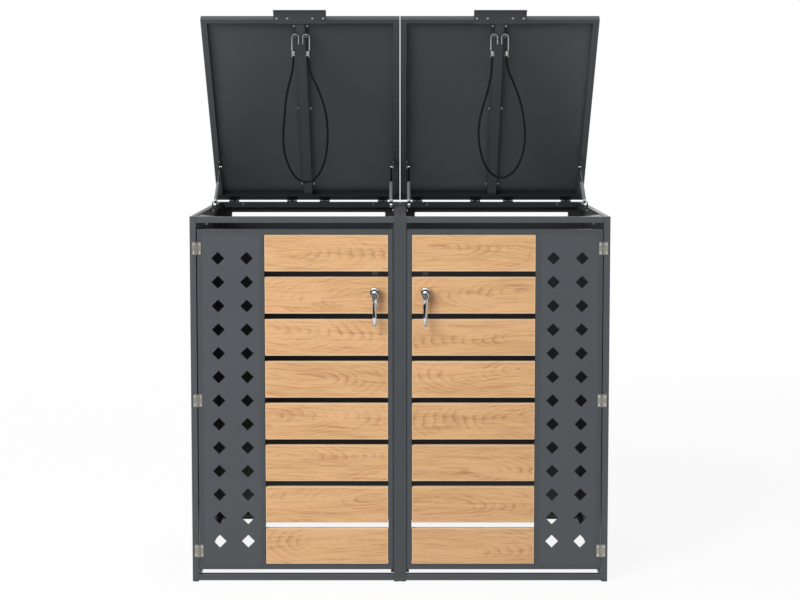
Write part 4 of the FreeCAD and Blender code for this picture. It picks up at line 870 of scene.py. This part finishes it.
def set_back(piece_name, node, edge_shift, finish):
    """A lid piece with its front end moved towards the hinges, at the rim's inner face and past it."""
    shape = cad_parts[node].data.copy()
    shape.name = piece_name
    for point in shape.vertices:
        forward = (point.co.y - HINGE_Y) * LID_FORWARD[1] + (point.co.z - HINGE_Z) * LID_FORWARD[2]
        if forward > RIM_INNER_FORWARD - RIM_CATCH:
            shift = edge_shift if forward > RIM_INNER_FORWARD + EDGE_PAST_RIM else RIM_SET_BACK
            point.co.y -= shift * LID_FORWARD[1]
            point.co.z -= shift * LID_FORWARD[2]
    shape.update()
    made = add_object(piece_name, shape)
    for slot in made.material_slots:
        slot.material = finish
    return made


for side in ("left", "right"):
    for part, edge_shift, finish, slot in (("skin", EDGE_SET_BACK, lid_finish, "anthracite_sheet"),
                                           ("frame", EDGE_SET_BACK, lid_tube_finish, "anthracite_tube"),
                                           ("rib", EDGE_SET_BACK, lid_tube_finish, "anthracite_sheet"),
                                           ("grip_tab", 0.0, lid_tube_finish, "anthracite_sheet")):
        node = side + "_lid_" + part
        dressed = set_back(node + "_fitted", node, edge_shift, finish)
        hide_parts(node)
        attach(dressed, side + "_lid")
    paint(lid_tube_finish, side + "_lid_strut_brackets")

# Lid screws: four along the grip plate and three pairs along the rib's flanges, all plated pan
# heads, and two in each leaf of the lid hinges, blackened and nearly flush so that the lids shut.
GRIP_SCREWS = (-0.0770, -0.0415, 0.0415, 0.0770)
GRIP_SCREW_FORWARD = 0.792
GRIP_FACE_UP = 0.0002
RIB_SCREW_ACROSS = 0.0210
RIB_SCREW_FORWARD = (0.064, 0.404, 0.748)
RIB_FLANGE_UP = 0.0210
LID_SCREW_RADIUS = 0.0040
LID_SCREW_RISE = 0.0021
HINGE_OFFSETS = (-0.268, -0.059, 0.059, 0.268)
LEAF_SCREW_ACROSS = 0.0110
LEAF_SCREW_RISE = 0.0005
LID_LEAF_FORWARD = 0.0122
LID_LEAF_UP = 0.0007


def on_lid(x, forward, up):
    """A point of the open lid, forward of its hinge line and above it when shut."""
    return (x, HINGE_Y + forward * LID_FORWARD[1] - up * UNDERSIDE[1],
            HINGE_Z + forward * LID_FORWARD[2] - up * UNDERSIDE[2])


def lid_middle(side):
    """The x of a lid's rib."""
    rib_low, rib_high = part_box(side + "_lid_rib")
    return middle(rib_low.x, rib_high.x)


for side in ("left", "right"):
    lid_x = lid_middle(side)
    places = [(on_lid(lid_x + across, GRIP_SCREW_FORWARD, GRIP_FACE_UP), UNDERSIDE) for across in GRIP_SCREWS]
    places += [(on_lid(lid_x + across, forward, RIB_FLANGE_UP), UNDERSIDE)
               for forward in RIB_SCREW_FORWARD for across in (-RIB_SCREW_ACROSS, RIB_SCREW_ACROSS)]
    screws(side + "_lid_screws", places, LID_SCREW_RADIUS, LID_SCREW_RISE, side + "_lid", screw_finish)
    leaf_xs = [lid_x + offset + across for offset in HINGE_OFFSETS
               for across in (-LEAF_SCREW_ACROSS, LEAF_SCREW_ACROSS)]
    lid_places = [(on_lid(x, LID_LEAF_FORWARD, LID_LEAF_UP), UNDERSIDE) for x in leaf_xs]
    rail_places = [((x, HINGE_Y - LID_LEAF_FORWARD, HINGE_Z - LID_LEAF_UP), (0, 0, 1)) for x in leaf_xs]
    for label, body, places in (("_lid", side + "_lid", lid_places), ("_rail", "frame", rail_places)):
        screws(side + label + "_hinge_screws", places, HINGE_SCREW_RADIUS, LEAF_SCREW_RISE, body,
               black_hinge_finish)

# Gas struts: a painted grey pressure tube with a bright end cap and a plated eye on the rail's pin,
# and a dark piston rod whose plated eye meets the lid's plate. The fittings' bands are told apart
# by their distance from the pivots.
STRUT_PIVOT = (FRONT_FACE + 0.455, 1.173)
LID_PIVOT = on_lid(0.0, 0.192, -0.043)[1:]
CYLINDER_EYE_END = 0.0085
NECK_END = 0.0215
CAP_END = 0.0270
ROD_EYE_END = 0.0075


def from_pivot(tree, pivot):
    """Distance from a pivot's line in metres."""
    spot = parts(tree, on_object(tree))
    return slant(tree, minus(tree, spot["Y"], pivot[0]), minus(tree, spot["Z"], pivot[1]))


strut_finish, tree, shader = new_finish("strut_paint", IOR=1.5)
fine = noise(tree, on_object(tree), 420.0, 2.0)
reach = from_pivot(tree, STRUT_PIVOT)
eye = calc(tree, "LESS_THAN", reach, CYLINDER_EYE_END)
near = calc(tree, "LESS_THAN", reach, NECK_END)
cap = product(tree, calc(tree, "GREATER_THAN", reach, NECK_END), calc(tree, "LESS_THAN", reach, CAP_END))
neck = product(tree, minus(tree, 1.0, eye), near)
tube_paint = blend_colour(tree, fine, (0.160, 0.168, 0.176, 1), (0.205, 0.213, 0.221, 1))
tube_paint = blend_colour(tree, neck, tube_paint, (0.020, 0.020, 0.021, 1))
tube_paint = blend_colour(tree, calc(tree, "ADD", eye, cap), tube_paint, (0.62, 0.61, 0.59, 1))
tree.links.new(eye, shader.inputs["Metallic"])
give_surface(tree, shader, tube_paint, scaled(tree, fine, 0.10, 0.28), fine, 0.06, 0.0003)

rod_finish, tree, shader = new_finish("piston_rod", Metallic=1.0)
fine = noise(tree, on_object(tree), 500.0, 2.0)
eye = calc(tree, "LESS_THAN", from_pivot(tree, LID_PIVOT), ROD_EYE_END)
rod_colour = blend_colour(tree, fine, (0.110, 0.112, 0.115, 1), (0.160, 0.162, 0.166, 1))
give_surface(tree, shader, blend_colour(tree, eye, rod_colour, (0.46, 0.45, 0.44, 1)),
             scaled(tree, fine, 0.12, 0.16))
for side in ("left", "right"):
    for place in ("outer", "inner"):
        paint(strut_finish, side + "_" + place + "_strut_cylinder")
        paint(rod_finish, side + "_" + place + "_strut_rod")

# Strut plate screws: one plated pan head in each lid plate above the pivot, and one in the foot of
# each rail bracket.
PLATE_SCREW_FORWARD = 0.198
PLATE_SCREW_UP = -0.0195
PLATE_SCREW_RISE = 0.0021
PLATE_THICKNESS = 0.0015
RIM_FACES = (0.6392, 0.0220)
FOOT_FACES = (0.6373, 0.0239)
FOOT_SCREW = (FRONT_FACE + 0.447, 1.1560)
FOOT_SCREW_RISE = 0.0030
for sign, side in ((-1, "left"), (1, "right")):
    plate_places = []
    foot_places = []
    for rim_x, foot_x, facing in zip(RIM_FACES, FOOT_FACES, (-sign, sign)):
        spot = on_lid(sign * rim_x + facing * PLATE_THICKNESS, PLATE_SCREW_FORWARD, PLATE_SCREW_UP)
        plate_places.append((spot, (facing, 0, 0)))
        foot_places.append(((sign * foot_x, *FOOT_SCREW), (facing, 0, 0)))
    screws(side + "_strut_plate_screws", plate_places, PAN_HEAD_RADIUS, PLATE_SCREW_RISE, side + "_lid",
           screw_finish)
    screws(side + "_strut_foot_screws", foot_places, PAN_HEAD_RADIUS, FOOT_SCREW_RISE, "frame", screw_finish)

# Hooks of the elastic cords: bent 5 mm galvanised wire over the rib's pegs. Each wire's long leg
# ends in three tight turns that grip the cord's end.
WIRE_RADIUS = 0.0024
HOOK_HALF_WIDTH = 0.0112
HOOK_SPACING = 0.036
HOOK_TIP = 0.022
HOOK_LEG = 0.046
FERRULE_SHIFT = 0.006
FERRULE_LENGTH = 0.022
FERRULE_WAIST = 0.0056
COIL_TURNS = 3.2
COIL_STEPS = 24
COIL_RADIUS = 0.0050
COIL_LEAD = 0.006
BEND_STEPS = 16
hook_finish = zinc_plated("hook_wire", (0.66, 0.66, 0.64, 1), dullness=0.20)


def wire(name, points, radius, kind="POLY"):
    """A round wire or cord along points, as a curve."""
    curve = bpy.data.curves.new(name, "CURVE")
    curve.dimensions = "3D"
    curve.bevel_depth = radius
    curve.bevel_resolution = 5
    curve.use_fill_caps = True
    curve.resolution_u = 10
    spline = curve.splines.new(kind)
    spline.points.add(len(points) - 1)
    for point, place in zip(spline.points, points):
        point.co = (*place, 1)
    if kind == "NURBS":
        spline.order_u = 3
        spline.use_endpoint_u = True
    return add_object(name, curve)


def hook_points(centre_x, y, apex_z, side):
    """The wire's middle line from its tip over the peg, down the long leg and round the cord."""
    bend_z = apex_z - HOOK_HALF_WIDTH
    points = [(centre_x - side * HOOK_HALF_WIDTH, y, bend_z - HOOK_TIP)]
    for step in range(BEND_STEPS + 1):
        turn = math.pi * step / BEND_STEPS
        points.append((centre_x - side * HOOK_HALF_WIDTH * math.cos(turn), y,
                       bend_z + HOOK_HALF_WIDTH * math.sin(turn)))
    coil_x = centre_x + side * FERRULE_SHIFT
    coil_top = bend_z - HOOK_LEG + FERRULE_WAIST / 2 - WIRE_RADIUS
    fall = FERRULE_LENGTH - 2 * WIRE_RADIUS
    points.append((centre_x + side * HOOK_HALF_WIDTH, y, coil_top + COIL_LEAD))
    last = int(COIL_STEPS * COIL_TURNS)
    for step in range(last + 1):
        turn = 2 * math.pi * step / COIL_STEPS
        points.append((coil_x + side * COIL_RADIUS * math.cos(turn), y - COIL_RADIUS * math.sin(turn),
                       coil_top - fall * step / last))
    return points


# Elastic cords: braided black sheath over rubber, 7 mm thick, about 0.9 m from ferrule to ferrule.
# Each hangs in a slack loop under its open lid from the two hooks.
CORD_DIAMETER = 0.007
LEFT_CORD_POINTS = [
    (-36, 154), (-49, 207), (-54, 271), (-60, 334), (-57, 392), (-40, 444), (-15, 481), (14, 493),
    (43, 485), (72, 447), (87, 389), (90, 320), (84, 260), (69, 208), (47, 157),
]
RIGHT_CORD_POINTS = [
    (-31, 156), (-42, 202), (-57, 248), (-67, 296), (-69, 346), (-60, 400), (-43, 442), (-19, 469),
    (5, 478), (32, 471), (59, 447), (79, 403), (88, 348), (85, 292), (73, 228), (51, 167),
]
CORD_START_RUN = 0.034
CORD_END_RADIUS = 0.0031
CORD_END_TOP = 0.001
CORD_END_FOOT = 0.0005

cord_finish, tree, shader = new_finish("cord_black", IOR=1.45, Specular_IOR_Level=0.2)
strands = add_node(tree, "ShaderNodeTexVoronoi", {"feature": "F1"}, Vector=on_object(tree), Scale=620.0,
                   Randomness=0.35).outputs["Distance"]
give_surface(tree, shader, blend_colour(tree, strands, (0.006, 0.006, 0.007, 1), (0.002, 0.002, 0.002, 1)),
             scaled(tree, strands, 0.3, 0.5), minus(tree, 1.0, strands), 0.6, 0.0006)

for side, cord_points in (("left", LEFT_CORD_POINTS), ("right", RIGHT_CORD_POINTS)):
    hooks_low, hooks_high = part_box(side + "_cord_hooks")
    lid_x = lid_middle(side)
    hook_y = middle(hooks_low.y, hooks_high.y)
    apex_z = hooks_high.z - WIRE_RADIUS
    ferrule_end_z = apex_z - HOOK_HALF_WIDTH - HOOK_LEG + FERRULE_WAIST / 2 - FERRULE_LENGTH
    fittings = []
    for hand, label in ((-1, "first"), (1, "second")):
        centre_x = lid_x + hand * HOOK_SPACING / 2
        hook = wire(side + "_" + label + "_hook", hook_points(centre_x, hook_y, apex_z, hand), WIRE_RADIUS)
        hook.data.materials.append(hook_finish)
        end_x = centre_x + hand * FERRULE_SHIFT
        stub = wire(side + "_" + label + "_cord_end",
                    [(end_x, hook_y, ferrule_end_z + FERRULE_LENGTH - CORD_END_TOP),
                     (end_x, hook_y, ferrule_end_z + CORD_END_FOOT)], CORD_END_RADIUS)
        stub.data.materials.append(cord_finish)
        fittings += [hook, stub]
    start_x = lid_x - HOOK_SPACING / 2 - FERRULE_SHIFT
    stop_x = lid_x + HOOK_SPACING / 2 + FERRULE_SHIFT
    route = [(start_x, hook_y, ferrule_end_z), (start_x, hook_y, ferrule_end_z - CORD_START_RUN)]
    route += [(lid_x + across / 1000, hook_y, apex_z - drop / 1000) for across, drop in cord_points]
    route += [(stop_x, hook_y, ferrule_end_z - CORD_START_RUN), (stop_x, hook_y, ferrule_end_z)]
    elastic = wire(side + "_elastic", route, CORD_DIAMETER / 2, "NURBS")
    elastic.data.materials.append(cord_finish)
    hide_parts(side + "_elastic_cord")
    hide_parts(side + "_cord_hooks")
    for piece in fittings + [elastic]:
        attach(piece, side + "_lid")
